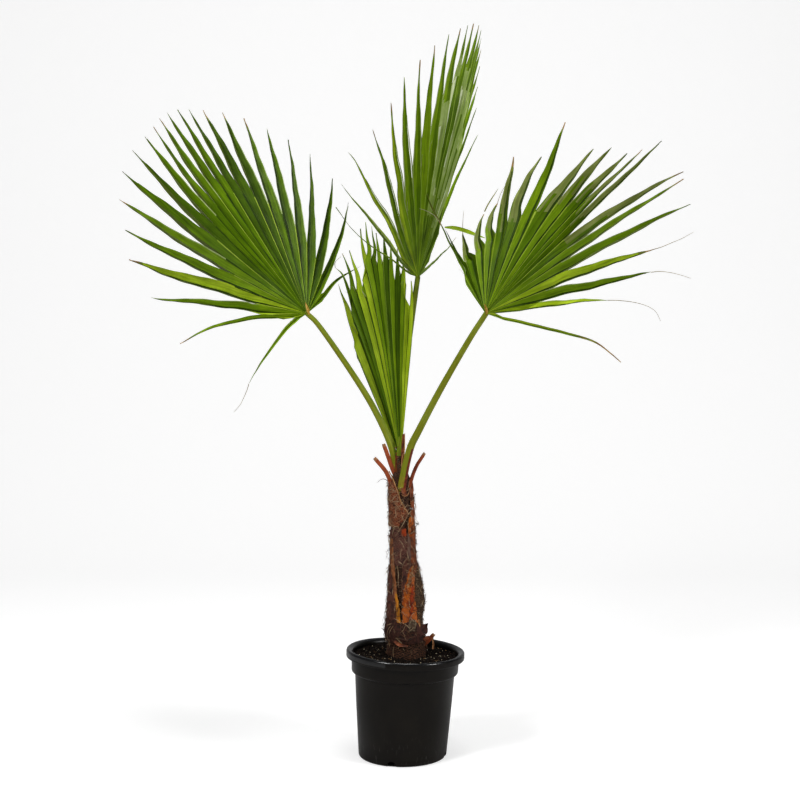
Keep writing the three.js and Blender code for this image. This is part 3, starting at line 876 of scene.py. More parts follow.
def disc_faces(rings: int, sides: int) -> list[list[int]]:
    """Faces between a middle corner, numbered 0, and the rings of corners that follow it."""
    faces = [[0, 1 + s, 1 + (s + 1) % sides] for s in range(sides)]
    for k in range(rings - 1):
        for s in range(sides):
            a, b = 1 + k * sides + s, 1 + k * sides + (s + 1) % sides
            faces.append([a, a + sides, b + sides, b])
    return faces


@dataclass
class PottingMix:
    """The soil: an uneven top a little below the lip, with crumbs, bark chips and perlite."""

    pot: Pot
    level: float = 208.0
    edge_level: float = 206.0
    mound_radius: float = 46.0
    lumps: Rows = ((2.4, 1.0), (1.6, 3.1), (1.0, 8.0))
    rings: int = 60
    sides: int = 150

    def top(self, r: float, angle: float) -> float:
        """Height of the soil at a radius and angle."""
        inner = self.pot.band_radius - self.pot.wall
        t = min(1.0, max(0.0, (r - self.mound_radius) / (inner - self.mound_radius)))
        base = self.level + (self.edge_level - self.level) * t
        spot = Vector((r * math.cos(angle), r * math.sin(angle), 0)) * 0.05
        return base - 1.5 + unevenness(spot, self.lumps)

    def ring(self, r: float, height: Callable[[float], float]) -> list[tuple[float, float, float]]:
        """Points of one ring, with its height as a function of the angle, moved with the pot."""
        turns = [2 * math.pi * s / self.sides for s in range(self.sides)]
        return [self.pot.settle_point(r * math.cos(a), r * math.sin(a), height(a)) for a in turns]

    def build(self) -> None:
        """Makes the soil and what lies on it."""
        inner = self.pot.band_radius - self.pot.wall - 0.4
        radii = [inner * (k / self.rings) ** 0.8 for k in range(1, self.rings + 1)]
        points = [self.pot.settle_point(0, 0, self.top(0, 0))]
        for r in radii:
            points += self.ring(r, lambda a, r=r: self.top(r, a))
        low = [(inner, 183.0), (self.pot.body_radius - 3, 169.0), (self.pot.base_radius - 4, 9.0),
               (self.pot.base_radius - 10, 3.6)]
        for r, z in low:
            points += self.ring(r, lambda a, z=z: z)
        rings = len(radii) + len(low)
        bottom = [1 + (rings - 1) * self.sides + s for s in range(self.sides)]
        soil = make_mesh("soil", np.array(points), [*disc_faces(rings, self.sides), bottom])
        soil.data.materials.append(PEAT.material())
        ground = self.ground(points)
        strewn = [
            (Scatter("soil_crumbs", 90000, 0.5, 1.5, seed=5), ("crumb", (1.5, 1.2, 1.0), 0.7, 1.0, 1), CRUMB),
            (Scatter("soil_lumps", 6500, 0.6, 1.6, seed=9), ("lump", (3.6, 2.8, 2.6), 0.9, 5.0, 2), CRUMB),
            (Scatter("bark_chips", 1900, 0.4, 1.3, lift_mm=0.8, lying=True, seed=11),
             ("chip", (3.6, 1.8, 0.9), 0.6, 8.0, 1), CHIP),
            (Scatter("perlite_grains", 11000, 0.25, 1.0, lift_mm=1.2, seed=21),
             ("grain", (1.4, 1.2, 1.1), 0.5, 3.0, 1), PERLITE),
        ]
        for scatter, shape, finish in strewn:
            settle(scatter.strew(ground, lump(*shape), finish.material()), "potting_mix")
        bpy.data.objects.remove(ground)
        settle(soil, "potting_mix", "soil")

    def ground(self, points: Rows) -> Piece:
        """Returns the open top of the soil alone, to strew things over.

        Args:
            points: The soil's points, from the middle out.

        Returns:
            A helper object that is removed later.
        """
        rings = self.rings - 1
        top = points[: 1 + self.sides * rings]
        mesh = bpy.data.meshes.new("soil_top")
        mesh.from_pydata([tuple(c * MM for c in p) for p in top], [], disc_faces(rings, self.sides))
        return link("soil_top", mesh)


@dataclass(frozen=True)
class Viewpoint:
    """Where the photograph was taken from, found by fitting the pot and the trunk."""

    focal: float = 1567.0
    size: float = 800.0
    across: float = -5.0
    distance: float = 3147.0
    height: float = 953.0
    pitch: float = 4.1

    def spot(self, right: float, down: float, depth: float) -> np.ndarray:
        """Point on an upright plane that shows at a spot of the photograph.

        Args:
            right: The spot's pixels from the left edge.
            down: Its pixels from the top edge.
            depth: The plane's Y in millimetres.

        Returns:
            The point in millimetres.
        """
        dip = math.radians(self.pitch)
        sideways = (right - self.size / 2) / self.focal
        upward = (self.size / 2 - down) / self.focal
        ahead = math.cos(dip) + upward * math.sin(dip)
        rise = upward * math.cos(dip) - math.sin(dip)
        far = (depth + self.distance) / ahead
        return np.array([self.across + sideways * far, depth, self.height + rise * far])

    def spots(self, spots: Spots, depth: float, step: float = 0.0) -> np.ndarray:
        """Points at spots, on upright planes that move back by a step from one to the next."""
        return np.array([self.spot(x, y, depth + step * k) for k, (x, y) in enumerate(spots)])

    def show(self, point: Sequence[float]) -> tuple[float, float]:
        """Pixels right and down at which a point shows."""
        dip = math.radians(self.pitch)
        x, y, z = point[0] - self.across, point[1] + self.distance, point[2] - self.height
        ahead = y * math.cos(dip) - z * math.sin(dip)
        rise = y * math.sin(dip) + z * math.cos(dip)
        return self.size / 2 + self.focal * x / ahead, self.size / 2 - self.focal * rise / ahead


VIEW = Viewpoint()


def quads_of(index: np.ndarray) -> np.ndarray:
    """Four-cornered faces of a grid of corner numbers."""
    return np.stack([index[:-1, :-1], index[1:, :-1], index[1:, 1:], index[:-1, 1:]], -1).reshape(-1, 4)


@dataclass
class Surface:
    """Collects closed blocks of faces with finishes and surface places, then makes one piece."""

    name: str
    finishes: list[Finish] = field(default_factory=list)
    points: list[np.ndarray] = field(default_factory=list)
    places: list[np.ndarray] = field(default_factory=list)
    faces: list[np.ndarray] = field(default_factory=list)
    marks: list[np.ndarray] = field(default_factory=list)
    count: int = 0

    def number(self, finish: Finish) -> int:
        """Slot number of a finish in this piece."""
        if finish not in self.finishes:
            self.finishes.append(finish)
        return self.finishes.index(finish)

    def add(self, points: np.ndarray, faces: np.ndarray, places: np.ndarray, marks: np.ndarray) -> None:
        """Adds one closed block of four-cornered faces, turned outward by its volume.

        Args:
            points: Corner points in millimetres.
            faces: Four corner numbers for each face.
            places: Two surface coordinates in metres for each corner point.
            marks: Finish number of each face.
        """
        a, b, c, d = (points[faces[:, k]] for k in range(4))
        volume = np.einsum("ij,ij->", a, np.cross(b, c)) + np.einsum("ij,ij->", a, np.cross(c, d))
        self.points.append(points)
        self.places.append(places)
        self.faces.append((faces if volume > 0 else faces[:, ::-1]) + self.count)
        self.marks.append(marks)
        self.count += len(points)

    def add_slab(
        self, upper: np.ndarray, lower: np.ndarray, places: np.ndarray, marks: np.ndarray, under: np.ndarray,
        wall: int,
    ) -> None:
        """Adds a closed slab between two grids of points.

        Args:
            upper: Grid of points with shape rows, columns, 3.
            lower: The grid below it.
            places: Grid of surface coordinates in metres.
            marks: Finish number of each upper face, as a grid.
            under: The same for the lower faces.
            wall: Finish number of the side walls.
        """
        rows, columns = upper.shape[:2]
        index = np.arange(rows * columns).reshape(rows, columns)
        low = index + rows * columns
        rim, low_rim = (
            np.concatenate([grid[0, :-1], grid[:-1, -1], grid[-1, :0:-1], grid[:0:-1, 0]])
            for grid in (index, low)
        )
        walls = np.stack([rim, np.roll(rim, -1), np.roll(low_rim, -1), low_rim], 1)
        self.add(
            np.concatenate([upper.reshape(-1, 3), lower.reshape(-1, 3)]),
            np.concatenate([quads_of(index), quads_of(low)[:, ::-1], walls]),
            np.concatenate([places.reshape(-1, 2)] * 2),
            np.concatenate([marks.ravel(), under.ravel(), np.full(len(rim), wall)]),
        )

    def add_tube(self, points: np.ndarray, places: np.ndarray, marks: np.ndarray) -> None:
        """Adds a closed tube of rings, each end closed round a point in its middle.

        Args:
            points: Grid of points with shape rings, sides, 3; the number of sides is even.
            places: Grid of surface coordinates in millimetres.
            marks: Finish number of each face, as a grid.
        """
        rings, sides = points.shape[:2]
        index = np.arange(rings * sides).reshape(rings, sides)
        around = np.hstack([index, index[:, :1]])
        faces, numbers = [quads_of(around)], [marks.ravel()]
        for end in (0, 1):
            ring = around[-end]
            tip = np.full(sides // 2, rings * sides + end)
            cap = np.stack([ring[:-1:2], ring[1::2], ring[2::2], tip], 1)
            faces.append(cap if end else cap[:, ::-1])
            numbers.append(np.full(sides // 2, marks[-end, 0]))
        tips = [np.mean(points[0], axis=0), np.mean(points[-1], axis=0)]
        self.add(
            np.vstack([points.reshape(-1, 3), tips]), np.vstack(faces),
            np.vstack([places.reshape(-1, 2), [[0, 0], [0, places[-1, 0, 1]]]]) * MM, np.concatenate(numbers),
        )

    def piece(self, sharp: float | None = None) -> Piece:
        """Makes the mesh piece.

        Args:
            sharp: Edges sharper than this many degrees stay sharp, or all are smooth.

        Returns:
            The new object, linked to the scene.
        """
        points, faces = np.concatenate(self.points) * MM, np.concatenate(self.faces)
        mesh = bpy.data.meshes.new(self.name)
        mesh.from_pydata(points.tolist(), [], faces.tolist())
        places = np.concatenate(self.places)[faces.ravel()]
        mesh.uv_layers.new(name="surface").data.foreach_set("uv", places.ravel().astype(np.float32))
        for finish in self.finishes:
            mesh.materials.append(finish.material())
        mesh.polygons.foreach_set("material_index", np.concatenate(self.marks).astype(np.int32))
        smooth(mesh, sharp)
        return link(self.name, mesh)


@dataclass
class Strap:
    """A narrow leaf strip along its own path, folded along its rib.

    Args:
        path: Points of the middle line, in millimetres.
        widths: Half widths, evenly spread from the start to the tip.
        toward: Direction that the upper side faces as nearly as it can.
        finish: Its finish.
        fold: How far the edges rise, as a share of the half width.
        turn: Turn round the middle line from start to tip, in degrees.
    """

    path: np.ndarray
    widths: Sequence[float]
    toward: Sequence[float] = (0.0, -1.0, 0.0)
    finish: Finish = BRIGHT
    fold: float = 0.4
    turn: float = 0.0
    steps: int = 26
    thickness: float = 0.5

    columns = np.array([-1, -0.6, -0.12, 0.12, 0.6, 1])

    def join(self, surface: Surface) -> None:
        """Adds the strap to a surface."""
        path = smooth_path(self.path, self.steps)
        ahead, toward = unit(np.gradient(path, axis=0)), np.asarray(self.toward, float)
        up = unit(toward - ahead * (ahead @ toward)[:, None])
        side = np.cross(ahead, up)
        share = np.linspace(0, 1, len(path))
        spin = np.radians(self.turn) * share
        across = side * np.cos(spin)[:, None] + up * np.sin(spin)[:, None]
        upward = up * np.cos(spin)[:, None] - side * np.sin(spin)[:, None]
        half = np.interp(share, np.linspace(0, 1, len(self.widths)), self.widths)
        lift = self.fold * (np.abs(self.columns) - 0.5)
        upper = (
            path[:, None, :] + across[:, None, :] * (half[:, None] * self.columns)[..., None]
            + upward[:, None, :] * (half[:, None] * lift)[..., None]
        )
        lower = upper - upward[:, None, :] * self.thickness
        grid = np.broadcast_arrays(half[:, None] * self.columns, lengths_along(path)[:, None])
        marks = np.full((len(path) - 1, len(self.columns) - 1), surface.number(self.finish))
        if isinstance(self.finish, LeafFinish):
            marks[:, 2] = surface.number(RIB)
        surface.add_slab(upper, lower, np.stack(grid, -1) * MM, marks, marks, marks[0, 0])


@dataclass
class Fan:
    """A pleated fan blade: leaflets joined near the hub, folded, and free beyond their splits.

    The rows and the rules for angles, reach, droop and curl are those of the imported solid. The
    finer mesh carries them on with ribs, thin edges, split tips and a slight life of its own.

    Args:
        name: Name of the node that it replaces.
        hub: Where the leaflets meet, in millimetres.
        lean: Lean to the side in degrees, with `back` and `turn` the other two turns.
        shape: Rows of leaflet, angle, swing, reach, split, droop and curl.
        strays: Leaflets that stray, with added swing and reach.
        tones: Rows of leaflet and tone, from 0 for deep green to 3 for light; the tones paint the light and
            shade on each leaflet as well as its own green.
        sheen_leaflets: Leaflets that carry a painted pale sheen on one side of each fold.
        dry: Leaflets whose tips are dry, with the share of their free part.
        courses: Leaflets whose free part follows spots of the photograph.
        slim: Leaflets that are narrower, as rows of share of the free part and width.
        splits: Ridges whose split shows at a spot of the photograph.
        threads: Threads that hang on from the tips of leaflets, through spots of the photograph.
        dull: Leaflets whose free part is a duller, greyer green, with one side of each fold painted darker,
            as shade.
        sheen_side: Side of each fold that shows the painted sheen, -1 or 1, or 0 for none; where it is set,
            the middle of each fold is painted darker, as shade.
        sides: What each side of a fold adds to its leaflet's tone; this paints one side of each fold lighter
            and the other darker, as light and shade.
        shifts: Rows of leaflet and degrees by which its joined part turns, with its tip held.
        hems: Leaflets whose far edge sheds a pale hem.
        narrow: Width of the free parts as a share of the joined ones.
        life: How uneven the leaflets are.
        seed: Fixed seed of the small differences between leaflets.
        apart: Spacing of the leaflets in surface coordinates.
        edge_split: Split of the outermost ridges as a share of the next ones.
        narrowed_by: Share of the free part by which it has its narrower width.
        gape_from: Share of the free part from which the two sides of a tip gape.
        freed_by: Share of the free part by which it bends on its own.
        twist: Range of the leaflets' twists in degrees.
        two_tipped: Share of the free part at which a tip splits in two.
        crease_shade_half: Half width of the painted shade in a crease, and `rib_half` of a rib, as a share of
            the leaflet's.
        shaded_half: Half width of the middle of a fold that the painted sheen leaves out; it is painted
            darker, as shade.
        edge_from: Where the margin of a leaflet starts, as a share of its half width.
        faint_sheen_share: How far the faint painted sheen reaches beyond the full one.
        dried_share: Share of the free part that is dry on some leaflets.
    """

    name: str
    slot: str
    hub: Sequence[float]
    lean: float
    back: float
    turn: float
    cup: float
    pleat: float
    count: int
    shape: Rows
    strays: Rows = ()
    # Tones paint the light and shade on each leaflet as well as its own green
    tones: Rows = ((0, 1), (30, 1))
    # Leaflets with painted sheen on one side of each fold
    sheen_leaflets: Sequence[int] = ()
    dry: dict[int, float] = field(default_factory=dict)
    courses: dict[int, Spots] = field(default_factory=dict)
    slim: dict[int, Rows] = field(default_factory=dict)
    splits: dict[int, tuple[float, float]] = field(default_factory=dict)
    threads: dict[int, Spots] = field(default_factory=dict)
    dull: Sequence[int] = ()
    # Side of the folds that takes the painted sheen
    sheen_side: int = 0
    # Painted light and shade: one side of each fold lighter, the other darker
    sides: tuple[float, float] = (0.3, -0.3)
    shifts: Rows = ((0, 0), (30, 0))
    young: bool = False
    hems: Sequence[int] = ()
    narrow: float = 1.0
    life: float = 1.0
    seed: float = 1.0
    inner: float = 3.5
    fused_rows: int = 24
    free_rows: int = 26
    hub_radius: float = 12.0
    taper: float = 1.4
    droop_power: float = 3.0
    thick_hub: float = 1.1
    thick_split: float = 0.7
    thick_tip: float = 0.4
    apart: float = 40.0
    edge_split: float = 0.8
    narrowed_by: float = 0.15
    gape_from: float = 0.78
    freed_by: float = 0.3
    twist: float = 34.0
    two_tipped: float = 0.86
    crease_shade_half: float = 0.14
    rib_half: float = 0.06
    shaded_half: float = 0.4
    edge_from: float = 0.94
    faint_sheen_share: float = 0.16
    dried_share: float = 0.04

    columns = np.array([-1, -0.9, -0.7, -0.45, -0.2, -0.05, 0, 0.05, 0.2, 0.45, 0.7, 0.9, 1.0])

    def __post_init__(self) -> None:
        """Works out each leaflet and each ridge between two."""
        last, numbers = self.count - 1, range(self.count)
        read = [[along(self.shape, i, c) for i in numbers] for c in (1, 2, 3, 5, 6)]
        self.angle, self.swing, self.reach, self.droop, self.curl = (np.array(r) for r in read)
        for i, swing, reach in self.strays:
            self.swing[i] += swing
            self.reach[i] += reach
        turned = np.interp(numbers, *zip(*self.shifts))
        self.angle, self.swing = self.angle + turned, self.swing - turned
        self.bend = (self.reach, self.droop, self.curl)
        before = np.maximum(np.arange(self.count + 1) - 1, 0)
        self.after = np.minimum(np.arange(self.count + 1), last)
        self.ridge_bend = [(v[before] + v[self.after]) / 2 for v in self.bend]
        depth = [along(self.shape, min(max(k - 0.5, 0), last), 4) for k in range(self.count + 1)]
        depth[0] = depth[-1] = self.hub_radius * 3
        self.depth = np.array(depth)
        turns = [Matrix.Rotation(math.radians(angle), 3, axis)
                 for angle, axis in ((-self.back, "X"), (self.lean, "Y"), (self.turn, "Z"))]
        self.world = np.array(turns[0] @ turns[1] @ turns[2])
        self.gravity = self.world.T @ np.array([0.0, 0.0, -1.0])
        for k, spot in self.splits.items():
            radius = np.linspace(self.inner + 12, self.ridge_bend[0][k] * 0.9, 120)
            misses = [math.dist(VIEW.show(point), spot) for point in self.crest(k, radius)]
            self.depth[k] = radius[int(np.argmin(misses))]
        for k, inner in ((0, 1), (self.count, last)):
            self.depth[k] = max(self.depth[k], self.edge_split * self.depth[inner])

    def chance(self, i: int, factor: float = 1.0) -> float:
        """Repeatable number from 0 to 1 for a leaflet, another one for each factor."""
        return fraction(factor * i + self.seed)

    def centre(self, i: np.ndarray, radius: np.ndarray) -> np.ndarray:
        """Angle of a leaflet's rib at a radius, in degrees."""
        return self.angle[i] + self.swing[i] * (radius / self.reach[i]) ** 2

    def ridge(self, k: int, radius: np.ndarray) -> np.ndarray:
        """Angle of the ridge before leaflet k at a radius, in degrees."""
        if 0 < k < self.count:
            return (self.centre(k - 1, radius) + self.centre(k, radius)) / 2
        own, inner = self.after[k], 1 if k == 0 else self.count - 2
        return self.centre(own, radius) + (self.centre(own, radius) - self.centre(inner, radius)) / 2

    def half(self, k: int, i: int, radius: np.ndarray) -> np.ndarray:
        """Half width of leaflet i on the side of ridge k, in millimetres."""
        return np.abs(np.radians(self.ridge(k, radius) - self.centre(i, radius))) * radius

    def put(
        self, angle: np.ndarray, radius: np.ndarray, height: np.ndarray, reach: np.ndarray,
        droop: np.ndarray, curl: np.ndarray,
    ) -> np.ndarray:
        """Points of the blade in the frame of the part.

        Args:
            angle: Angles from the hub's axis in degrees.
            radius: Distances from the hub.
            height: Heights over the blade's cone.
            reach: Reach that the droop and curl count from.
            droop: Sag of the tip as a share of the reach.
            curl: Rise of the tip as a share of the reach.

        Returns:
            The points, with one more axis of three numbers.
        """
        a, share = np.radians(angle), radius / reach
        lift = height + (self.cup * np.abs(np.sin(a)) + curl * share) * radius
        local = np.stack([radius * np.sin(a), -lift, radius * np.cos(a)], -1)
        local = local + self.gravity * (droop * reach * share**self.droop_power)[..., None]
        return local @ self.world.T + np.asarray(self.hub, float)

    def crest(self, k: int, radius: np.ndarray) -> np.ndarray:
        """Points of the ridge before leaflet k at some radii."""
        return self.put(self.ridge(k, radius), radius, 0.0, *(v[k] for v in self.ridge_bend))

    def rib(self, i: int, shares: np.ndarray) -> np.ndarray:
        """Points of leaflet i's rib at shares of its free part, before any course."""
        start = (self.depth[i] + self.depth[i + 1]) / 2
        radius = start + (self.reach[i] - start) * shares
        return self.put(self.centre(i, radius), radius, 0.0, *(v[i] for v in self.bend))

    def tip(self, i: int) -> np.ndarray:
        """Where the tip of leaflet i ends, with any course."""
        end = self.rib(i, np.array([1.0]))[0]
        return VIEW.spot(*self.courses[i][-1], end[1]) if i in self.courses else end

    def ripple(self, i: int, radius: np.ndarray, across: np.ndarray) -> np.ndarray:
        """Slight unevenness of a leaflet's height, nothing at the hub."""
        phase = TURN * self.chance(i)
        long = 0.9 * np.sin(radius / (19 + 9 * self.chance(i, 2.7)) + phase)
        short = 0.5 * np.sin(radius / 8.3 + 3 * across + phase)
        return self.life * np.clip(radius / 150, 0, 1) * (long + short)

    @staticmethod
    def rounding(ways: np.ndarray, half: np.ndarray) -> np.ndarray:
        """Softens the bottom of the fold so that the rib lies in a small channel."""
        return 0.05 * half * np.exp(-((ways / 0.12) ** 2))

    @staticmethod
    def rib_bulge(ways: np.ndarray, half: np.ndarray) -> np.ndarray:
        """Thickness that the rib adds below the blade."""
        return np.minimum(1.1, 0.08 * half) * np.exp(-((ways / 0.07) ** 2))

    def fused(self, i: int) -> tuple[np.ndarray, np.ndarray, np.ndarray]:
        """Joined part of leaflet i.

        Args:
            i: The leaflet.

        Returns:
            Upper points, lower points and surface coordinates, in rows and columns.
        """
        ways, left = np.abs(self.columns), self.columns < 0
        share = (np.linspace(0, 1, self.fused_rows + 1) ** 1.15)[:, None]
        k = np.where(left, i, i + 1)
        middle = (self.depth[i] + self.depth[i + 1]) / 2
        end = middle + (self.depth[k] - middle) * ways
        radius = self.inner + (end - self.inner) * share
        ridges, centre = [self.ridge(i, radius), self.ridge(i + 1, radius)], self.centre(i, radius)
        ridge = np.where(left, *ridges)
        angle = centre + (ridge - centre) * ways
        tops = [np.abs(np.radians(line - self.centre(self.after[n], radius))) * radius
                for n, line in enumerate(ridges, i)]
        low = (self.half(i, i, radius) + self.half(i + 1, i, radius)) / 2
        height = self.pleat / 2 * (np.where(left, *tops) * ways - low * (1 - ways))
        height = height + self.rounding(ways, low) + (1 - ways**2) * self.ripple(i, radius, self.columns)
        bend = [v[i] * (1 - ways) + w[k] * ways for v, w in zip(self.bend, self.ridge_bend)]
        thick = self.thick_hub + (self.thick_split - self.thick_hub) * np.clip(radius / 250, 0, 1)
        thick = thick + self.rib_bulge(ways, low)
        side = (ridge - centre) * ways * np.pi / 180 * radius
        places = np.stack([side + self.apart * i, radius + 0 * side], -1) * MM
        return self.put(angle, radius, height, *bend), self.put(angle, radius, height - thick, *bend), places

    def free(
        self, i: int, shares: np.ndarray, columns: np.ndarray, gape: float = 0.0, shorter: float = 0.0
    ) -> tuple[np.ndarray, np.ndarray, np.ndarray]:
        """Free part of leaflet i at some shares of its length.

        Args:
            i: The leaflet.
            shares: Shares of the free length, one for each row.
            columns: Places across, from -1 to 1.
            gape: Sideways gap of a split tip at its end, in millimetres.
            shorter: Share by which this side of a split tip is shorter.

        Returns:
            Upper points, lower points and surface coordinates, in rows and columns.
        """
        ways, left, down = np.abs(columns), columns < 0, shares[:, None]
        near, g = np.where(left, i, i + 1), down * (1 - shorter)
        middle = (self.depth[i] + self.depth[i + 1]) / 2
        start = middle + (self.depth[near] - middle) * ways
        radius = start + (self.reach[i] - start) * g
        width = 1 - (down * 0.985) ** self.taper
        width = width * (1 - (1 - self.narrow) * np.clip(down / self.narrowed_by, 0, 1))
        if i in self.slim:
            width = width * np.interp(shares, *zip(*self.slim[i]))[:, None]
        edges = [self.half(k, i, self.depth[k]) for k in (i, i + 1)]
        if i == 0:
            edges[0] = self.half(0, 0, np.minimum(radius, self.depth[1]))
        if i == self.count - 1:
            edges[1] = self.half(i + 1, i, np.minimum(radius, self.depth[i]))
        half = np.where(left, *edges) * width
        outward = [np.sign(self.ridge(k, self.depth[k]) - self.centre(i, self.depth[k])) for k in (i, i + 1)]
        away = np.where(left, *outward)
        late = np.clip((down - self.gape_from) / (1 - self.gape_from), 0, 1)
        angle = self.centre(i, radius) + away * np.degrees((half * ways + gape * late**1.4) / radius)
        fold = self.pleat * (1 + 0.5 * (self.chance(i, 3.1) - 0.3) * np.clip(g * 2, 0, 1))
        low = (edges[0] + edges[1]) / 2 * width
        height = fold / 2 * (half * ways - low * (1 - ways)) + self.rounding(ways, low)
        height = height + self.ripple(i, radius, columns) * (1 - ways**2 * (1 - np.clip(4 * g, 0, 1)))
        twist = math.radians(self.twist) * (self.chance(i, 5.3) - 0.5) * np.clip(g * 1.4, 0, 1)
        height = height + away * half * ways * np.sin(twist)
        own = np.clip(g / self.freed_by, 0, 1)
        own = own * own * (3 - 2 * own)
        bend = []
        for v, w in zip(self.bend, self.ridge_bend):
            joined = v[i] * (1 - ways) + w[near] * ways
            bend.append(joined + (v[i] - joined) * own)
        thick = self.thick_split + (self.thick_tip - self.thick_split) * g + self.rib_bulge(ways, low)
        upper = self.put(angle, radius, height, *bend)
        lower = self.put(angle, radius, height - thick, *bend)
        if i in self.courses:
            upper, lower = self.steer(i, shares, upper, lower)
        return upper, lower, np.stack([away * half * ways + self.apart * i, radius + 0 * half], -1) * MM

    def steer(
        self, i: int, shares: np.ndarray, upper: np.ndarray, lower: np.ndarray
    ) -> tuple[np.ndarray, np.ndarray]:
        """Moves the rows of a leaflet so that its rib follows its course in the photograph.

        Args:
            i: The leaflet.
            shares: Share of the free part of each row.
            upper: Upper points.
            lower: Lower points.

        Returns:
            The moved upper and lower points.
        """
        fine = np.linspace(0, 1, 60)
        own = self.rib(i, fine)
        hub, start = VIEW.show(self.hub), VIEW.show(own[0])
        beyond = math.dist(hub, start) + 4
        corners = [start, *[spot for spot in self.courses[i] if math.dist(hub, spot) > beyond]]
        line = smooth_path([(x, 0.0, y) for x, y in corners], 59)
        aim = np.array([VIEW.spot(q[0], q[2], c[1]) for q, c in zip(line, own)])
        ahead = [np.gradient(path, axis=0) for path in (own, aim)]
        turns = [np.unwrap(np.arctan2(d[:, 2], d[:, 0])) for d in ahead]
        gain = (turns[1] - turns[0] + np.pi) % (2 * np.pi) - np.pi
        spin = np.interp(shares, fine, gain * np.clip(fine / 0.12, 0, 1))[:, None]
        centre, shift = (
            np.stack([np.interp(shares, fine, v[:, c]) for c in range(3)], 1)[:, None]
            for v in (own, aim - own)
        )
        moved = []
        for points in (upper, lower):
            x, y, z = np.moveaxis(points - centre, -1, 0)
            turned = [x * np.cos(spin) - z * np.sin(spin), y, x * np.sin(spin) + z * np.cos(spin)]
            moved.append(np.stack(turned, -1) + centre + shift)
        return moved[0], moved[1]

    def tone(self, i: int, side: int, more: float = 0.0) -> Finish:
        """Finish of one side of leaflet i, lighter by some levels; the tones paint light and shade as well as
        the leaflet's own green.
        """
        # A leaflet with painted sheen shows it on one side of each fold
        if i in self.sheen_leaflets and (side > 0) == (self.sheen_side > 0):
            return PAINTED_SHEEN
        # The side's shift paints one side of each fold lighter and the other darker, as light and shade
        level = float(np.interp(i, *zip(*self.tones))) + self.sides[side] + more
        level += 1.1 * (self.chance(i, 7.7) - 0.5)
        return (DEEP, MIDDLE, BRIGHT, YOUNG)[int(min(3, max(0, round(level))))]

    def marks(
        self, surface: Surface, i: int, columns: np.ndarray, shares: np.ndarray, low: bool
    ) -> np.ndarray:
        """Finish numbers of a grid of faces.

        Args:
            surface: The surface that the faces go to.
            i: The leaflet.
            columns: Places across of the corner columns.
            shares: Share of the free length of each row, below nothing where joined.
            low: Whether the faces are on the lower side.

        Returns:
            One number for each face, in rows and columns.
        """
        middles, down = (columns[:-1] + columns[1:]) / 2, shares[:, None]
        between, joined = np.abs(middles), down < -0.5
        uneven = np.array([fraction(7.3 * i + 3.1 * c) for c in range(len(middles))])
        under = low and not self.young and not self.sheen_side
        sides = [surface.number(UNDER if under else self.tone(i, side)) for side in (0, 1)]
        grid = np.tile(np.where(middles < 0, *sides), (len(shares), 1))
        if i in self.dull and not low:
            # One side of each fold takes the dull green, the other its darker copy as painted shade
            greyed = np.where(middles < 0, surface.number(DULL), surface.number(DULL_PAINTED_SHADE))
            grid = np.where(down > 0.03 + 0.5 * uneven**2, greyed, grid)
        # Painted sheen covers one side of each fold over part of the length, with a faint painted sheen round
        # it; the middle of the fold keeps a darker green as painted shade
        if i in self.sheen_leaflets:
            waxy = grid == surface.number(PAINTED_SHEEN)
            inner = surface.number(MIDDLE if i % 3 == 1 else FAINT_PAINTED_SHEEN)
            grid = np.where(waxy & (between < self.shaded_half), inner, grid)
            place = np.linspace(0, 1, len(shares))[:, None] if joined[0] else 1 + down
            first, last = 0.25 + 0.3 * fraction(2.9 * i), 1.25 + 0.5 * fraction(3.7 * i)
            bare = np.where(between < self.shaded_half, surface.number(MIDDLE), surface.number(BRIGHT))
            for finish, more in ((surface.number(FAINT_PAINTED_SHEEN), self.faint_sheen_share), (bare, 0.0)):
                slack = more + 0.05 * uneven
                outside = (place < first + slack) | (place > last - 1.5 * slack)
                grid = np.where(waxy & outside, finish, grid)
        # Without sheen, the middle of each fold is painted darker, as shade
        elif self.sheen_side:
            grid[:, between < self.shaded_half] = surface.number(self.tone(i, 0, -0.9))
        raised = low or self.young
        ribbed = raised and not (self.young and self.chance(i, 3.9) < 0.5)
        # The valley of each fold on the upper side is painted dark, as shade; raised ribs below keep the pale
        # rib green, and some young ribs take the painted shade
        fold = between < (self.rib_half if raised else self.crease_shade_half)
        grid[:, fold] = surface.number(RIB if ribbed else PAINTED_CREASE_SHADE)
        # Along the joined ridges, most upper sides take a painted highlight and the rest, with the under
        # sides, painted shade
        seam = PAINTED_RIDGE_HIGHLIGHT if self.chance(i, 5.7) > 0.25 and not raised else PAINTED_CREASE_SHADE
        grid[(between > self.edge_from) & joined] = surface.number(seam)
        if self.chance(i, 9.1) > 0.45:
            grid[(between > self.edge_from) & ~joined] = surface.number(RIM)
        dried = self.dry.get(i, self.dried_share if self.chance(i, 1.3) > 0.6 else 0.0)
        grid[shares > 1 - 1.8 * dried] = surface.number(FADING)
        grid[shares > 1 - dried] = surface.number(DRY)
        return grid

    def build(self) -> None:
        """Makes the whole fan as one piece with its hems, and its threads as another."""
        surface = Surface(self.name + "_blade")
        wide, rows = len(self.columns), self.fused_rows + 1
        spans = [slice((wide - 1) * i, (wide - 1) * (i + 1) + 1) for i in range(self.count)]
        total = spans[-1].stop
        grid, flat = np.zeros((2, rows, total, 3)), np.zeros((rows, total, 2))
        for i, span in enumerate(spans):
            grid[0][:, span], grid[1][:, span], flat[:, span] = self.fused(i)
        points, places = [grid.reshape(-1, 3)], [flat.reshape(-1, 2)] * 2
        faces, marks = [], []

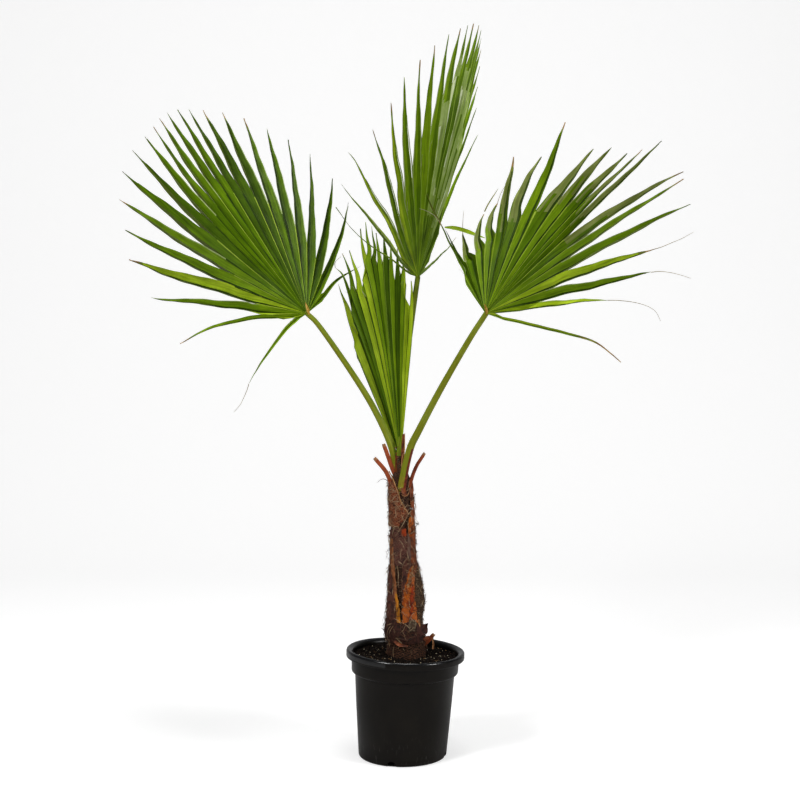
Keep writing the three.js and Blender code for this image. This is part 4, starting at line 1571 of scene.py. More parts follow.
        def skin(lines: Sequence[np.ndarray], leaflets: Sequence[int], columns: np.ndarray,
                 own: np.ndarray) -> None:
            """Adds the faces of the upper and of the lower side."""
            for under in (False, True):
                quads = quads_of(lines[under])
                faces.append(quads[:, ::-1] if under else quads)
                grids = [self.marks(surface, i, columns, own, under) for i in leaflets]
                marks.append(np.hstack(grids).ravel())

        def wall(upper: np.ndarray, lower: np.ndarray) -> None:
            """Adds the wall below a line of upper corners, with the solid on its left."""
            faces.append(np.stack([upper[:-1], upper[1:], lower[1:], lower[:-1]], 1))
            marks.append(np.full(len(upper) - 1, plain))

        index = np.arange(rows * total).reshape(rows, total)
        low = index + rows * total
        count = 2 * rows * total
        skin((index, low), range(self.count), self.columns, -np.ones(rows - 1))
        plain = surface.number(YOUNG if self.young else UNDER)
        wall(index[0], low[0])
        wall(index[::-1, 0], low[::-1, 0])
        wall(index[:, -1], low[:, -1])
        shares = (np.arange(1, self.free_rows + 1) / self.free_rows) ** 0.85
        for i, whole in enumerate(spans):
            split = self.two_tipped if self.chance(i, 4.9) > 0.35 else 2.0
            cut = int(np.sum(shares <= split))
            lines = index[-1, whole], low[-1, whole]
            wild, late = self.chance(i, 6.1), shares[cut - 1 :]
            parts = [(slice(0, wide), shares[:cut], 0.0, 0.0)]
            if cut < len(shares):
                parts.append((slice(0, wide // 2 + 1), late, 0.3 + 0.9 * wild, 0.0))
                parts.append((slice(wide // 2, wide), late, 0.3 + 0.7 * (1 - wild), 0.03))
            for n, (span, own, gape, shorter) in enumerate(parts):
                # The two sides of a split tip share the row that they start from
                skip = 1 if n else 0
                grids = self.free(i, own, self.columns[span], gape, shorter)
                upper, lower, spots = (part[skip:] for part in grids)
                size = upper.shape[0] * upper.shape[1]
                new = count + np.arange(size).reshape(upper.shape[:2])
                points.extend([upper.reshape(-1, 3), lower.reshape(-1, 3)])
                places.extend([spots.reshape(-1, 2)] * 2)
                count += 2 * size
                over, below = np.vstack([lines[0][span], new]), np.vstack([lines[1][span], new + size])
                skin((over, below), (i,), self.columns[span], own[skip:])
                wall(over[::-1, 0], below[::-1, 0])
                wall(over[:, -1], below[:, -1])
                if n or cut == len(shares):
                    wall(over[-1][::-1], below[-1][::-1])
                else:
                    lines = over[-1], below[-1]
        surface.add(*(np.concatenate(part) for part in (points, faces, places, marks)))
        for i in self.hems:
            self.shed(surface, i)
        self.hang_threads()
        settle(surface.piece(sharp=70), self.slot, self.name)

    def shed(self, surface: Surface, i: int) -> None:
        """Adds the pale hem that stands off the far edge of leaflet i."""
        own = np.linspace(0, 0.72, 12)
        edge, middle = (self.free(i, own, np.array([c]))[0][:, 0] for c in (-1.0, 0.0))
        gap = 3.6 * np.sin(np.pi * np.linspace(0.04, 0.9, len(own)) ** 0.8)
        path = middle + unit(middle - edge) * gap[:, None]
        Strap(path, (1.0, 1.1, 0.9, 0.4), finish=RIM, fold=0.2).join(surface)

    def hang_threads(self) -> None:
        """Makes the fine threads at the tips and in the splits of the leaflets."""
        paths, radii = [], []
        for i, spots in self.threads.items():
            end = self.tip(i)
            points = [end, *VIEW.spots(spots, end[1], -2)]
            paths.append(smooth_path(points, 10 * len(points)))
            radii.append(lambda t: 0.75 - 0.4 * t)
        for k in range(1, self.count):
            pick = self.chance(k, 8.7)
            if pick < 0.45:
                continue
            start = self.crest(k, self.depth[k : k + 1])[0]
            ahead = unit(start - np.asarray(self.hub, float))
            up = self.world[:, 1]
            curl = np.cross(ahead, up) * (pick - 0.72) * 60 + up * 4
            along_split = ahead * (16 + 40 * (pick - 0.45))
            middle, end = (start + along_split * far + curl * off for far, off in ((0.5, 0.15), (0.85, 0.6)))
            paths.append(smooth_path([start - 3 * ahead, middle, end], 12))
            radii.append(lambda t: 0.4 - 0.2 * t)
        dressed_tube(self.name + "_threads", paths, radii, 5, THREAD, self.slot)


@dataclass
class Limb:
    """A leaf stalk or the stump of one: a long loft, rounded below and channelled above.

    Args:
        name: Name of the piece, and of the node that it replaces.
        path: Corner points of the middle line, in millimetres.
        wide: Half width in the picture's plane at the foot and at the end.
        thick: Half thickness in depth at the foot and at the end.
        channel: Direction of the channelled upper side at the foot and at the end, in degrees from
            the right hand of the stalk towards its back.
        dip: Depth of the channel as a share of the section.
        skin: Finish of the round side.
        groove: Finish of the channel.
        foot: Finish of the foot, with `foot_share` of the length.
        edge: Finish of a coloured margin, or none, with its direction and share of the length.
        dip_half: Half width of the channel in radians, and `groove_half` of its finish.
        lip: Rise of the two lips beside the channel, with their direction and half width.
        beyond: How far the end runs on past the path, in millimetres.
        growth: Power by which the width changes along the path.
        end: Finish of a cut end, or none.
        ragged: How uneven the cut end is, from 0 to 1.
    """

    name: str
    slot: str
    path: Rows
    wide: Sequence[float]
    thick: Sequence[float]
    channel: Sequence[float] = (-90.0, -90.0)
    dip: float = 0.3
    dip_half: float = 0.55
    groove_half: float = 0.72
    lip: Sequence[float] = (0.05, 0.95, 0.22)
    skin: Finish = STALK
    groove: Finish = CHANNEL
    foot: Finish = STALK_FOOT
    foot_share: float = 0.16
    edge: Finish | None = None
    edge_turn: float = 0.0
    edge_half: float = 42.0
    edge_share: float = 0.3
    beyond: float = 5.0
    growth: float = 0.6
    end: Finish | None = None
    ragged: float = 0.0
    steps: int = 90
    sides: int = 28

    def rings(self) -> tuple[np.ndarray, np.ndarray, np.ndarray]:
        """Returns the rings of points, the share of the length and the turn from the channel."""
        path = smooth_path(self.path, self.steps)
        ahead = unit(np.gradient(path, axis=0))
        path = np.vstack([path, path[-1] + ahead[-1] * self.beyond])
        ahead = np.vstack([ahead, ahead[-1]])
        side = unit(np.cross([0.0, 1.0, 0.0], ahead))
        top = np.cross(ahead, side)
        share = np.append(np.linspace(0, 1, self.steps + 1), 1.0)
        turn = 2 * np.pi * np.arange(self.sides) / self.sides
        facing = np.radians(self.channel[0] + (self.channel[1] - self.channel[0]) * share**2)
        apart = (turn[None, :] - facing[:, None] + np.pi) % (2 * np.pi) - np.pi
        shrink = np.ones(len(path))
        shrink[-1] = 0.6 if self.end is None else 0.86
        form = 1 - self.dip * np.exp(-((apart / self.dip_half) ** 2))
        rise, place, half = self.lip
        form += rise * np.exp(-(((np.abs(apart) - place) / half) ** 2)) * (self.dip > 0)
        half = (self.wide[0] + (self.wide[1] - self.wide[0]) * share**self.growth) * shrink
        deep = (self.thick[0] + (self.thick[1] - self.thick[0]) * share) * shrink
        rough = np.array([
            [noise.noise(Vector((5 * math.cos(t), 5 * math.sin(t), 60 * s * 0.12))) for t in turn]
            for s in share
        ])
        form = form * (1 + (0.015 + self.ragged * 0.12) * rough)
        points = (
            path[:, None] + side[:, None] * (half[:, None] * np.cos(turn) * form)[..., None]
            + top[:, None] * (deep[:, None] * np.sin(turn) * form)[..., None]
        )
        if self.ragged:
            jag = np.array([fraction(3.3 * k + self.path[0][0]) for k in range(self.sides)])
            points[-1] += ahead[-1] * (self.ragged * 9 * (jag[:, None] - 0.4))
        return points, share, apart

    def build(self) -> None:
        """Makes the limb and hands it over."""
        points, share, apart = self.rings()
        surface = Surface(self.name + "_limb")
        marks = np.full((len(share) - 1, self.sides), surface.number(self.skin))
        if self.dip > 0:
            marks[np.abs(apart + np.pi / self.sides)[:-1] < self.groove_half] = surface.number(self.groove)
        marks[share[:-1] < self.foot_share] = surface.number(self.foot)
        if self.edge is not None:
            turn = np.degrees(2 * np.pi * (np.arange(self.sides) + 0.5) / self.sides)
            near = np.abs((turn - self.edge_turn + 180) % 360 - 180) < self.edge_half
            marks[np.ix_(share[:-1] < self.edge_share, near)] = surface.number(self.edge)
        if self.end is not None:
            marks[-2:] = surface.number(self.end)
        reach = (self.wide[0] + self.thick[0]) * 0.5
        places = np.broadcast_arrays(reach * apart, lengths_along(points[:, 0])[:, None])
        surface.add_tube(points, np.stack(places, -1), marks)
        settle(surface.piece(sharp=60), self.slot, self.name)


@dataclass
class Trunk:
    """The fibrous trunk: a woven core under layers of dry leaf sheaths.

    Args:
        rings: Rows of height over the ground, middle and radius.
        ground: Height of the ground in millimetres.
        matting: Layers of its unevenness, each with its height and its fineness.
        rooted: How far the core goes down into the ground.
        girth: Radius that the woven pattern is laid out for.
        face: Depth at which its sheaths are seen.
        outline: Share of the radius from which on an edge counts as hidden.
        wrap: Degrees by which a hidden edge runs on behind for each radius beyond that.
    """

    rings: Rows = (
        (0, 7, 40), (18, 8, 38.5), (45, 6, 37), (72, 4, 33), (101, 5, 33), (130, 5, 30.5), (200, 1, 24.5),
        (266, 0, 22.5), (338, -3, 21), (366, -4, 17), (376, -4, 10),
    )
    ground: float = 208.45
    roughness: float = 0.03
    matting: Rows = ((1.5, 2.6), (0.9, 7), (0.5, 17))
    rooted: float = 4.0
    girth: float = 30.0
    face: float = -28.0
    outline: float = 0.985
    wrap: float = 200.0
    rows: int = 260
    sides: int = 150

    def radius(self, up: float, angle: float) -> float:
        """Radius at a height over the ground and an angle in radians."""
        wave = math.sin(3 * angle + up * 0.021) + 0.6 * math.sin(5 * angle - up * 0.034)
        return along(self.rings, up, 2) * (1 + self.roughness * wave)

    def middle(self, up: float) -> float:
        """Where the trunk's middle is at a height over the ground."""
        return along(self.rings, up, 1)

    def on(self, up: float, degrees: float, stand: float = 0.0) -> np.ndarray:
        """Point on the trunk at a height and an angle round it, standing off its surface."""
        angle = math.radians(degrees)
        radius = self.radius(up, angle) + stand
        return np.array(
            [self.middle(up) + radius * math.cos(angle), radius * math.sin(angle), self.ground + up]
        )

    def core(self) -> Piece:
        """Makes the woven core, uneven like matted fibre."""
        top = self.rings[-1][0]
        points = np.zeros((self.rows + 1, self.sides, 3))
        places = np.zeros((self.rows + 1, self.sides, 2))
        for r in range(self.rows + 1):
            up = -self.rooted + (top + self.rooted) * r / self.rows
            for s in range(self.sides):
                degrees = 360 * s / self.sides
                angle = math.radians(degrees)
                spot = Vector((math.cos(angle), math.sin(angle), up * 0.03))
                points[r, s] = self.on(max(up, 0), degrees, unevenness(spot, self.matting) - 0.5)
                points[r, s, 2] = self.ground + up
                places[r, s] = self.girth * angle, up
        surface = Surface("trunk_core")
        surface.add_tube(points, places, np.full((self.rows, self.sides), surface.number(CORE)))
        return settle(surface.piece(), "trunk_bark", "trunk")

    def as_seen(self, rows: Rows) -> Rows:
        """Turns rows read off the photograph into rows round the trunk.

        Args:
            rows: Rows of pixels down, pixels across of the left and right edge, and stand-off. An
                edge that lies outside the trunk's outline runs on behind it.

        Returns:
            Rows for a tongue, from the lowest up.
        """
        found = []
        for down, left, right, stand in sorted(rows, reverse=True):
            up = VIEW.spot(VIEW.size / 2, down, self.face)[2] - self.ground
            sides = []
            for across in (left, right):
                x = VIEW.spot(across, down, self.face)[0] - self.middle(up)
                share = x / (self.radius(up, math.radians(FRONT)) + stand)
                beyond = max(0.0, abs(share) - self.outline) * self.wrap
                seen = math.degrees(math.asin(max(-self.outline, min(self.outline, share))))
                sides.append(seen + math.copysign(beyond, x))
            found.append([up, (sides[0] + sides[1]) / 2, (sides[1] - sides[0]) / 2, stand])
        return found

    def under(self, *spots: Sequence[float]) -> np.ndarray:
        """Points that lie on the trunk where spots of the photograph show them.

        Args:
            *spots: Pixels across, pixels down and stand-off in millimetres.

        Returns:
            The points; a spot beside the trunk lies level with its middle.
        """
        found = []
        for across, down, stand in spots:
            x, _, z = VIEW.spot(across, down, -20)
            up = z - self.ground
            radius = self.radius(up, math.radians(FRONT)) + stand
            away = x - self.middle(up)
            found.append(VIEW.spot(across, down, -math.sqrt(max(radius * radius - away * away, 4.0))))
        return np.array(found)


@dataclass
class Tongue:
    """A dry sheath, strip or boot that hugs the trunk.

    Args:
        rows: Rows of height over the ground, angle round the trunk in degrees from the front to the
            right, half angle in degrees, and stand off the trunk in millimetres.
        finish: Its outer finish.
        hem: Finish of its edges, or none.
        thick: Thickness in millimetres.
        bulge: How far its middle stands out beyond its edges.
        fray: How uneven its edges and its top are, in millimetres.
    """

    rows: Rows
    finish: Finish
    hem: Finish | None = None
    thick: float = 1.0
    bulge: float = 2.0
    fray: float = 1.0
    ridged: float = 0.4
    hem_share: float = 0.12
    steps: int = 46
    columns: int = 26

    def join(self, surface: Surface, trunk: Trunk) -> None:
        """Adds the tongue to a surface."""
        bottom, top = self.rows[0][0], self.rows[-1][0]
        upper = np.zeros((self.steps + 1, self.columns + 1, 3))
        lower, places = np.zeros_like(upper), np.zeros(upper.shape[:2] + (2,))
        for r in range(self.steps + 1):
            up = bottom + (top - bottom) * r / self.steps
            turn, half, stand = (along(self.rows, up, c) for c in (1, 2, 3))
            for c in range(self.columns + 1):
                way = 2 * c / self.columns - 1
                edge = self.fray * noise.noise(Vector((up * 0.09, way, turn))) * abs(way) ** 3 * 4
                degrees = FRONT + turn + half * way + edge * 2
                rise = self.fray * 5 * noise.noise(Vector((way * 3, turn, 7))) * (r / self.steps) ** 6
                ridge = self.ridged * noise.noise(Vector((degrees * 0.45, up * 0.012, turn)))
                ridge += self.ridged * 0.7 * noise.noise(Vector((degrees * 1.1, up * 0.02, turn)))
                out = stand + self.bulge * (1 - way * way) + ridge
                at = max(0.0, up + rise)
                upper[r, c] = trunk.on(at, degrees, out + self.thick)
                lower[r, c] = trunk.on(at, degrees, out)
                places[r, c] = trunk.girth * math.radians(degrees), up
        marks = np.full((self.steps, self.columns), surface.number(self.finish))
        if self.hem is not None:
            wide = max(1, int(self.columns * self.hem_share / 2))
            marks[:, :wide] = surface.number(self.hem)
            marks[:, -wide:] = surface.number(self.hem)
        edge = surface.number(self.hem or self.finish)
        under = np.full(marks.shape, surface.number(self.finish))
        surface.add_slab(upper, lower, places * MM, marks, under, edge)


@dataclass
class Studio:
    """The plain pale room, its soft lights and the camera of the photograph.

    Args:
        floor_colour: Colour of the paper.
        glow: Light that the paper shows to the camera of its own.
        ambient: Strength of the air's light on the plant.
        wide: Half the width of the floor, in metres.
        near: Its front edge; far is its back edge.
        tall: Height of the backdrop.
        bend: Radius of the curve between floor and backdrop.
        aim: Point that the lights face.
        lamps: Rows of name, place, size and power of each soft light.
    """

    floor_colour: str = "c8c8c8"
    glow: float = 0.62
    ambient: float = 0.1
    wide: float = 6.0
    near: float = -5.0
    far: float = 3.5
    tall: float = 6.0
    bend: float = 1.5
    aim: Sequence[float] = (0, 0, 0.6)
    lamps: Sequence[tuple] = (
        ("window_left", (-2.2, -2.4, 2.9), 0.8, 80.0), ("window_right", (2.8, -1.6, 1.8), 0.8, 55.0),
        ("top_soft", (0.2, -0.4, 3.6), 1.2, 55.0),
    )

    def build(self) -> None:
        """Makes the room, the lights and the camera."""
        self.room()
        self.air()
        for lamp in self.lamps:
            self.light(*lamp)
        self.camera()
        bpy.context.scene.view_settings.view_transform = "Standard"

    def room(self) -> None:
        """Makes a floor that curves up into a backdrop."""
        turns = np.linspace(0.1, math.pi / 2, 16)
        foot, bend = self.far - self.bend, self.bend
        rise = [(foot + bend * math.sin(a), bend * (1 - math.cos(a))) for a in turns]
        profile = [(self.near, 0.0), (foot, 0.0), *rise, (self.far, self.tall)]
        points = [(x, y, z - 0.5 * MM) for y, z in profile for x in (-self.wide, self.wide)]
        faces = [[2 * i, 2 * i + 1, 2 * i + 3, 2 * i + 2] for i in range(len(profile) - 1)]
        mesh = bpy.data.meshes.new("studio_floor")
        mesh.from_pydata(points, [], faces)
        mesh.shade_smooth()
        mesh.materials.append(self.paper())
        floor = link("studio_floor", mesh)

    def paper(self) -> bpy.types.Material:
        """Returns matt white paper, clear from its back so that the plant shows from behind too."""
        paper = bpy.data.materials.new("white_paper")
        tree = empty_tree(paper)
        matt = add_node(tree, "ShaderNodeBsdfDiffuse", {"Color": linear(self.floor_colour)})
        seen = add_node(tree, "ShaderNodeLightPath").outputs["Is Camera Ray"]
        lit = add_node(tree, "ShaderNodeEmission", {"Strength": combine(tree, "MULTIPLY", seen, self.glow)})
        both = add_node(tree, "ShaderNodeAddShader", {0: matt.outputs["BSDF"], 1: lit.outputs["Emission"]})
        turned = add_node(tree, "ShaderNodeNewGeometry").outputs["Backfacing"]
        clear = add_node(tree, "ShaderNodeBsdfTransparent")
        side = add_node(tree, "ShaderNodeMixShader", {
            0: turned, 1: both.outputs["Shader"], 2: clear.outputs["BSDF"],
        })
        add_node(tree, "ShaderNodeOutputMaterial", {"Surface": side.outputs["Shader"]})
        return paper

    def air(self) -> None:
        """Makes surroundings that are white to the camera and dim to the plant."""
        world = bpy.data.worlds.new("studio_air")
        tree = empty_tree(world)
        seen = add_node(tree, "ShaderNodeLightPath").outputs["Is Camera Ray"]
        strength = spread(tree, seen, 0.0, 1.0, self.ambient, 1.0)
        air = add_node(tree, "ShaderNodeBackground", {"Color": (1, 1, 1, 1), "Strength": strength})
        add_node(tree, "ShaderNodeOutputWorld", {"Surface": air.outputs["Background"]})
        bpy.context.scene.world = world

    def light(self, name: str, place: Sequence[float], size: float, power: float) -> None:
        """Makes one soft square light.

        Args:
            name: Its name.
            place: Where it stands, in metres.
            size: Its side in metres.
            power: Its power in watts.
        """
        data = bpy.data.lights.new(name, "AREA")
        data.shape, data.size, data.energy = "SQUARE", size, power
        light = bpy.data.objects.new(name, data)
        light.location = place
        light.rotation_euler = (Vector(self.aim) - Vector(place)).to_track_quat("-Z", "Y").to_euler()
        bpy.context.scene.collection.objects.link(light)

    def camera(self) -> None:
        """Makes the camera that sees what the photograph shows."""
        data = bpy.data.cameras.new("camera")
        data.lens = data.sensor_width * VIEW.focal / VIEW.size
        camera = bpy.data.objects.new("camera", data)
        camera.location = (VIEW.across * MM, -VIEW.distance * MM, VIEW.height * MM)
        camera.rotation_euler = (math.radians(90 - VIEW.pitch), 0, 0)
        bpy.context.scene.collection.objects.link(camera)
        bpy.context.scene.camera = camera


# Rules of the fans: leaflet, angle, swing, reach, split, droop and curl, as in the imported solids
LEFT_SHAPE: Rows = (
    (0, -85, 0, 300, 50, 0.3, 0), (1, -76, 4, 395, 100, 0.1, 0), (2, -66, 4, 420, 130, 0.03, 0),
    (5, -38, 4, 460, 215, 0, 0), (8, -13.5, 9, 475, 260, 0, 0), (11, 5, 4, 505, 292, 0, 0),
    (14, 20.5, 1, 505, 285, 0, 0), (17, 41.5, 0, 495, 235, 0, 0), (20, 65.5, -2, 450, 145, 0, 0),
    (22, 85, 2, 270, 80, 0, 0),
)
RIGHT_SHAPE: Rows = (
    (0, -81, 9, 285, 140, 0, 0.38), (1, -74, 4, 305, 150, 0, 0.2), (2, -64, 0, 305, 165, 0, 0.05),
    (4, -48, 2, 360, 210, 0, 0), (7, -25.5, -3, 420, 255, 0, 0), (10, -8, 0, 415, 260, 0, 0),
    (12, -2, 1, 455, 225, 0, 0), (15, 21, 3, 440, 175, 0, 0), (17, 42, 1, 440, 145, 0.05, 0),
    (18, 51.5, 0, 385, 125, 0.08, 0), (19, 67, 1, 360, 110, 0.08, 0),
)
BACK_SHAPE: Rows = (
    (0, 88, -7, 490, 100, 0, 0), (1, 83, -7, 500, 140, 0, 0), (3, 65, -5, 480, 190, 0, 0),
    (6, 36, -2, 480, 235, 0, 0), (9, 14, -2, 510, 330, 0, 0), (12, 1, 0, 530, 370, 0, 0),
    (15, -11, -1, 512, 330, 0, 0), (18, -27, -8, 490, 190, 0, 0), (19, -39, -12, 575, 130, 0, 0),
    (20, -62, -7, 505, 90, 0, 0),
)
YOUNG_SHAPE: Rows = (
    (0, -17, 0, 358, 278, 0, 0), (4, -7.5, 0, 453, 378, 0, 0), (7, 0, 0, 483, 418, 0, 0),
    (10, 8.5, 0, 453, 398, 0, 0), (13, 17, 0, 403, 288, 0, 0),
)

# Courses of free leaflets: spots on the way from the split to the tip
LEFT_COURSES: dict[int, Spots] = {
    0: ((287, 328), (277, 340.5), (269, 351.5), (261, 363), (253.5, 375), (248.8, 384)),
    1: ((280, 317.3), (264, 318), (250, 319.5), (225, 324.5), (210, 329), (195, 335.6), (180.5, 343.3)),
    2: ((260, 311.5), (240, 307.4), (220, 305.7), (200, 303.1), (180, 301.3), (160, 299.3), (151.5, 297.4)),
    3: ((240, 298), (220, 290.2), (200, 284.5), (180, 278.5), (160, 272.2), (142, 264.6), (129, 259.5)),
    22: ((318, 302), (325, 294), (333, 284), (340, 278), (350, 272), (361, 266)),
}
RIGHT_COURSES: dict[int, Spots] = {
    0: ((464.5, 272), (458.4, 260), (453.6, 250), (448.2, 240), (444, 230), (439.4, 221.4)),
    1: ((460.6, 261), (455.4, 250.6), (450, 240), (445.4, 229.4)),
    2: ((467.6, 256), (465, 246), (463.6, 239), (462.6, 232)),
    3: ((478, 250), (478, 240), (479, 230), (481.6, 220), (483.8, 214)),
    4: ((488.5, 240), (490, 228), (493, 214), (497.6, 202.6)),
    5: ((504.5, 205), (507, 190), (511, 175), (513, 165), (513.3, 156.6)),
    6: ((514, 219), (519, 204), (524.5, 190), (531, 175), (541.6, 156.6)),
    7: ((529, 213), (536, 200), (543, 183), (550, 166), (556, 149), (561.5, 133), (565.2, 122)),
    16: ((570, 277.5), (590, 270.5), (600, 267), (620, 260.5), (640, 253.5), (655, 249)),
    17: ((570, 291), (590, 287.5), (600, 285), (620, 279.5), (640, 274.5), (651, 272.2)),
    18: ((560, 304.5), (580, 302), (600, 300.3), (608, 300.2)),
    19: ((500, 318), (520, 322), (540, 327), (560, 332), (580, 337), (592, 340.5), (602, 346.4), (612, 354.6),
         (621, 362.6)),
}
YOUNG_COURSES: dict[int, Spots] = {
    0: ((408, 345), (410, 322), (411, 304), (411.6, 290), (411.2, 280.6)),
    1: ((404.5, 310), (404.6, 292), (405, 278), (404.6, 267.6)),
    7: ((377, 262), (374.6, 248), (372.8, 236), (371.6, 226)),
    8: ((374, 275), (371, 262), (368.6, 250), (366.6, 237), (365.6, 222)),
    9: ((371, 292), (366.5, 272), (363.4, 256), (361.4, 243), (360.5, 228.8)),
    10: ((368, 312), (361, 291), (356.5, 275), (352.5, 262), (349.3, 250.4)),
    11: ((362, 310), (356, 292), (350, 276), (346, 263), (342.3, 253.5)),
    12: ((362, 340), (357, 322), (351, 302), (346, 285), (341.5, 274), (335.2, 267.6)),
    13: ((356, 340), (350, 322), (345.5, 306), (341, 293), (338.4, 284)),
}
BACK_COURSES: dict[int, Spots] = {
    0: ((405, 270), (392, 259.5), (380, 252), (370, 245), (360, 237), (352, 229), (345, 220), (335.4, 207)),
    1: ((400, 260), (388, 243), (372.5, 223), (353.5, 200), (341.4, 184.6)),
    2: ((389, 220), (375.5, 200), (365.6, 180), (354.7, 160.5), (348.2, 152.4)),
    3: ((397.5, 220), (393, 200), (387.5, 180), (383, 160), (376, 140), (372.4, 129.6)),
    4: ((402, 200), (400, 180), (396, 160), (394.2, 140), (390.6, 102.7)),
    18: ((441, 208), (447, 190), (455, 165), (465, 140), (476.5, 108)),
    19: ((436, 236), (441, 218), (450, 196), (460, 172), (470, 151), (478, 134.5)),
    20: ((430, 266), (440, 256), (449, 247), (456, 237)),
}

# A bent leaflet that hangs over the right fan
BENT_LEAFLET: Spots = ((444.6, 227.4), (452, 227.8), (460, 229.4), (468, 232), (476, 235), (485, 238))
# Withered tips beside it: half width in millimetres, and spots
WITHERED_TIPS: Sequence[tuple[float, Spots]] = (
    (1.7, ((440.6, 222), (437, 217), (433.4, 210.6), (429.3, 201.4), (426.4, 190.8))),
    (1.3, ((484.6, 211.6), (487.4, 205.6), (491, 199.6), (498.2, 188.6))),
)
# Crests of the hubs: depth in millimetres, and spots
HUB_CRESTS: Sequence[tuple[float, Spots]] = (
    (21.0, ((305.4, 302.4), (306.6, 306), (308, 310.4), (309.2, 314.6))),
    (-145.0, ((484.6, 304), (485.8, 308), (486.6, 311.4), (486.8, 314.6))),
)
# Dry flaps between the stalks: finish, depth in millimetres, and spots
DRY_FLAPS: Sequence[tuple[Finish, float, Spots]] = (
    (RUST, -4.0, ((402.4, 464), (402.7, 456), (403.1, 446), (403.4, 434))),
    (HEM, -5.0, ((404.2, 456), (404.6, 448), (404.7, 440), (404.8, 433))),
    (MAT, -10.0, ((399.4, 482), (399.2, 472), (398.6, 463), (398.0, 456))),
    (RUST, -9.0, ((397.6, 480), (397.0, 471), (396.8, 463), (396.2, 455))),
    (HEM, -12.0, ((402.2, 474), (401.6, 466), (402.0, 459), (403.4, 453))),
)
# Sheaths by node: finish, hem, fray, and rows of pixels down, left, right, and stand-off
SHEATHS: dict[str, Sequence[tuple[Finish, Finish | None, float, Rows]]] = {
    "sheath_high_left": [
        (SHEATH, None, 1.2, (
            (528, 386, 398.5, 1.5), (521, 385.5, 403.5, 2), (514, 385, 409, 2.2), (508, 385, 405.3, 2.4),
            (502, 385, 401.6, 2.6), (494, 386, 398.7, 2.8), (487, 386.5, 396, 3), (482, 387, 393, 3),
        )),
    ],
    "sheath_high": [
        (RUST, None, 0.5, ((580, 411, 418, 2), (565, 410.2, 416.5, 2.4), (550, 409.8, 416, 2.4),
                           (536, 410, 416, 2.4), (528, 410.5, 416, 2))),
        (GREY_STRIP, None, 0.4, ((577, 407.6, 410.6, 2.6), (560, 407.5, 410.2, 3),
                                 (545, 407.4, 410.2, 3), (534, 407.6, 409.4, 3))),
        (ORANGE, HEM, 0.2, ((537, 408.6, 413.2, 3), (530, 408.2, 413.6, 3.6), (524, 408.3, 413.6, 3.8),
                            (520, 408.8, 413.2, 3.6), (517.5, 410, 412, 3))),
        (RED_SPOT, None, 0.5, ((536.5, 400.5, 405.8, 1.8), (533, 401, 406.2, 2.2), (529, 402.5, 405.6, 1.8))),
        (DARK_SHEATH, None, 1.0, ((566, 391, 408, 0.8), (555, 390.6, 408, 1.4), (545, 390.4, 408, 1.4),
                                  (535, 390, 407.6, 1.2), (529, 391, 405, 0.8))),
    ],
    "sheath_front": [
        (ORANGE, None, 0.5, (
            (623, 402.4, 417.8, 3), (612, 402.4, 416.8, 4), (600, 402.5, 415.4, 4.4), (590, 403.2, 414.4, 4),
            (580, 405.2, 413.9, 3.6), (572, 407.3, 413.2, 3), (567, 409.4, 412, 2.4),
        )),
        (RED_SPOT, None, 0.6, ((621, 409.6, 412.4, 5), (604, 409.8, 413, 5.8), (590, 410.6, 413.2, 5.4),
                               (583, 411.4, 413, 4.6))),
        (HEM, None, 0.3, ((587, 406.6, 409.8, 5), (579, 408.2, 411.2, 5), (570, 410.2, 412.4, 4),
                          (566, 411.4, 412.6, 3))),
        (TAN_STRIP, None, 0.2, ((587, 412.4, 414, 4), (578, 412.2, 414, 4), (566, 413.2, 414.6, 3))),
        (PLUM_STRIP, None, 0.5, ((602, 402, 404.6, 2.4), (586, 401.8, 407.4, 3), (570, 402.2, 408.6, 3),
                                 (558, 402.4, 409, 2))),
    ],
    "sheath_left": [
        (PLUM_STRIP, None, 0.8, ((626, 384, 397.4, 2), (612, 385, 397, 2.6), (598, 386, 396, 2.8),
                                 (584, 387, 395, 2.4), (568, 388, 393.6, 1.6))),
        (YELLOW, None, 0.2, ((622, 396.4, 401, 3.4), (612, 396.3, 400, 4.2), (604, 395.9, 399, 4.2),
                             (597, 395.6, 397.8, 3.8), (592, 395.4, 396.8, 3))),
        (TAN_STRIP, None, 0.3, ((598, 394.9, 397.4, 3), (588, 394, 396.6, 3.4), (575, 392.7, 395.6, 3.4),
                                (560, 391.4, 394.4, 3), (540, 390.6, 393.6, 2))),
    ],
    "sheath_right": [
        (MAT, None, 2.2, (
            (624, 415.8, 424, 1), (612, 415, 425.5, 2), (604, 414.8, 428, 4), (596, 414.2, 426, 4),
            (588, 413.8, 425, 4), (578, 413.6, 423, 4), (570, 413.6, 421, 3), (565, 414, 418, 2),
        )),
    ],
    "boot_right": [
        (BOOT, None, 1.4, ((643, 397, 425, 1), (635, 396.5, 424, 4), (628, 398, 421, 5),
                           (623, 400, 418.5, 4))),
        (BOOT, None, 1.4, ((643, 380, 399.5, 0.5), (636, 380, 398.4, 3), (629, 380, 400.5, 4),
                           (621, 381, 402, 3))),
        (ASH, None, 0.8, ((630, 408, 415.6, 7), (624, 407.4, 416, 7), (619.5, 409, 414, 6))),
    ],
}
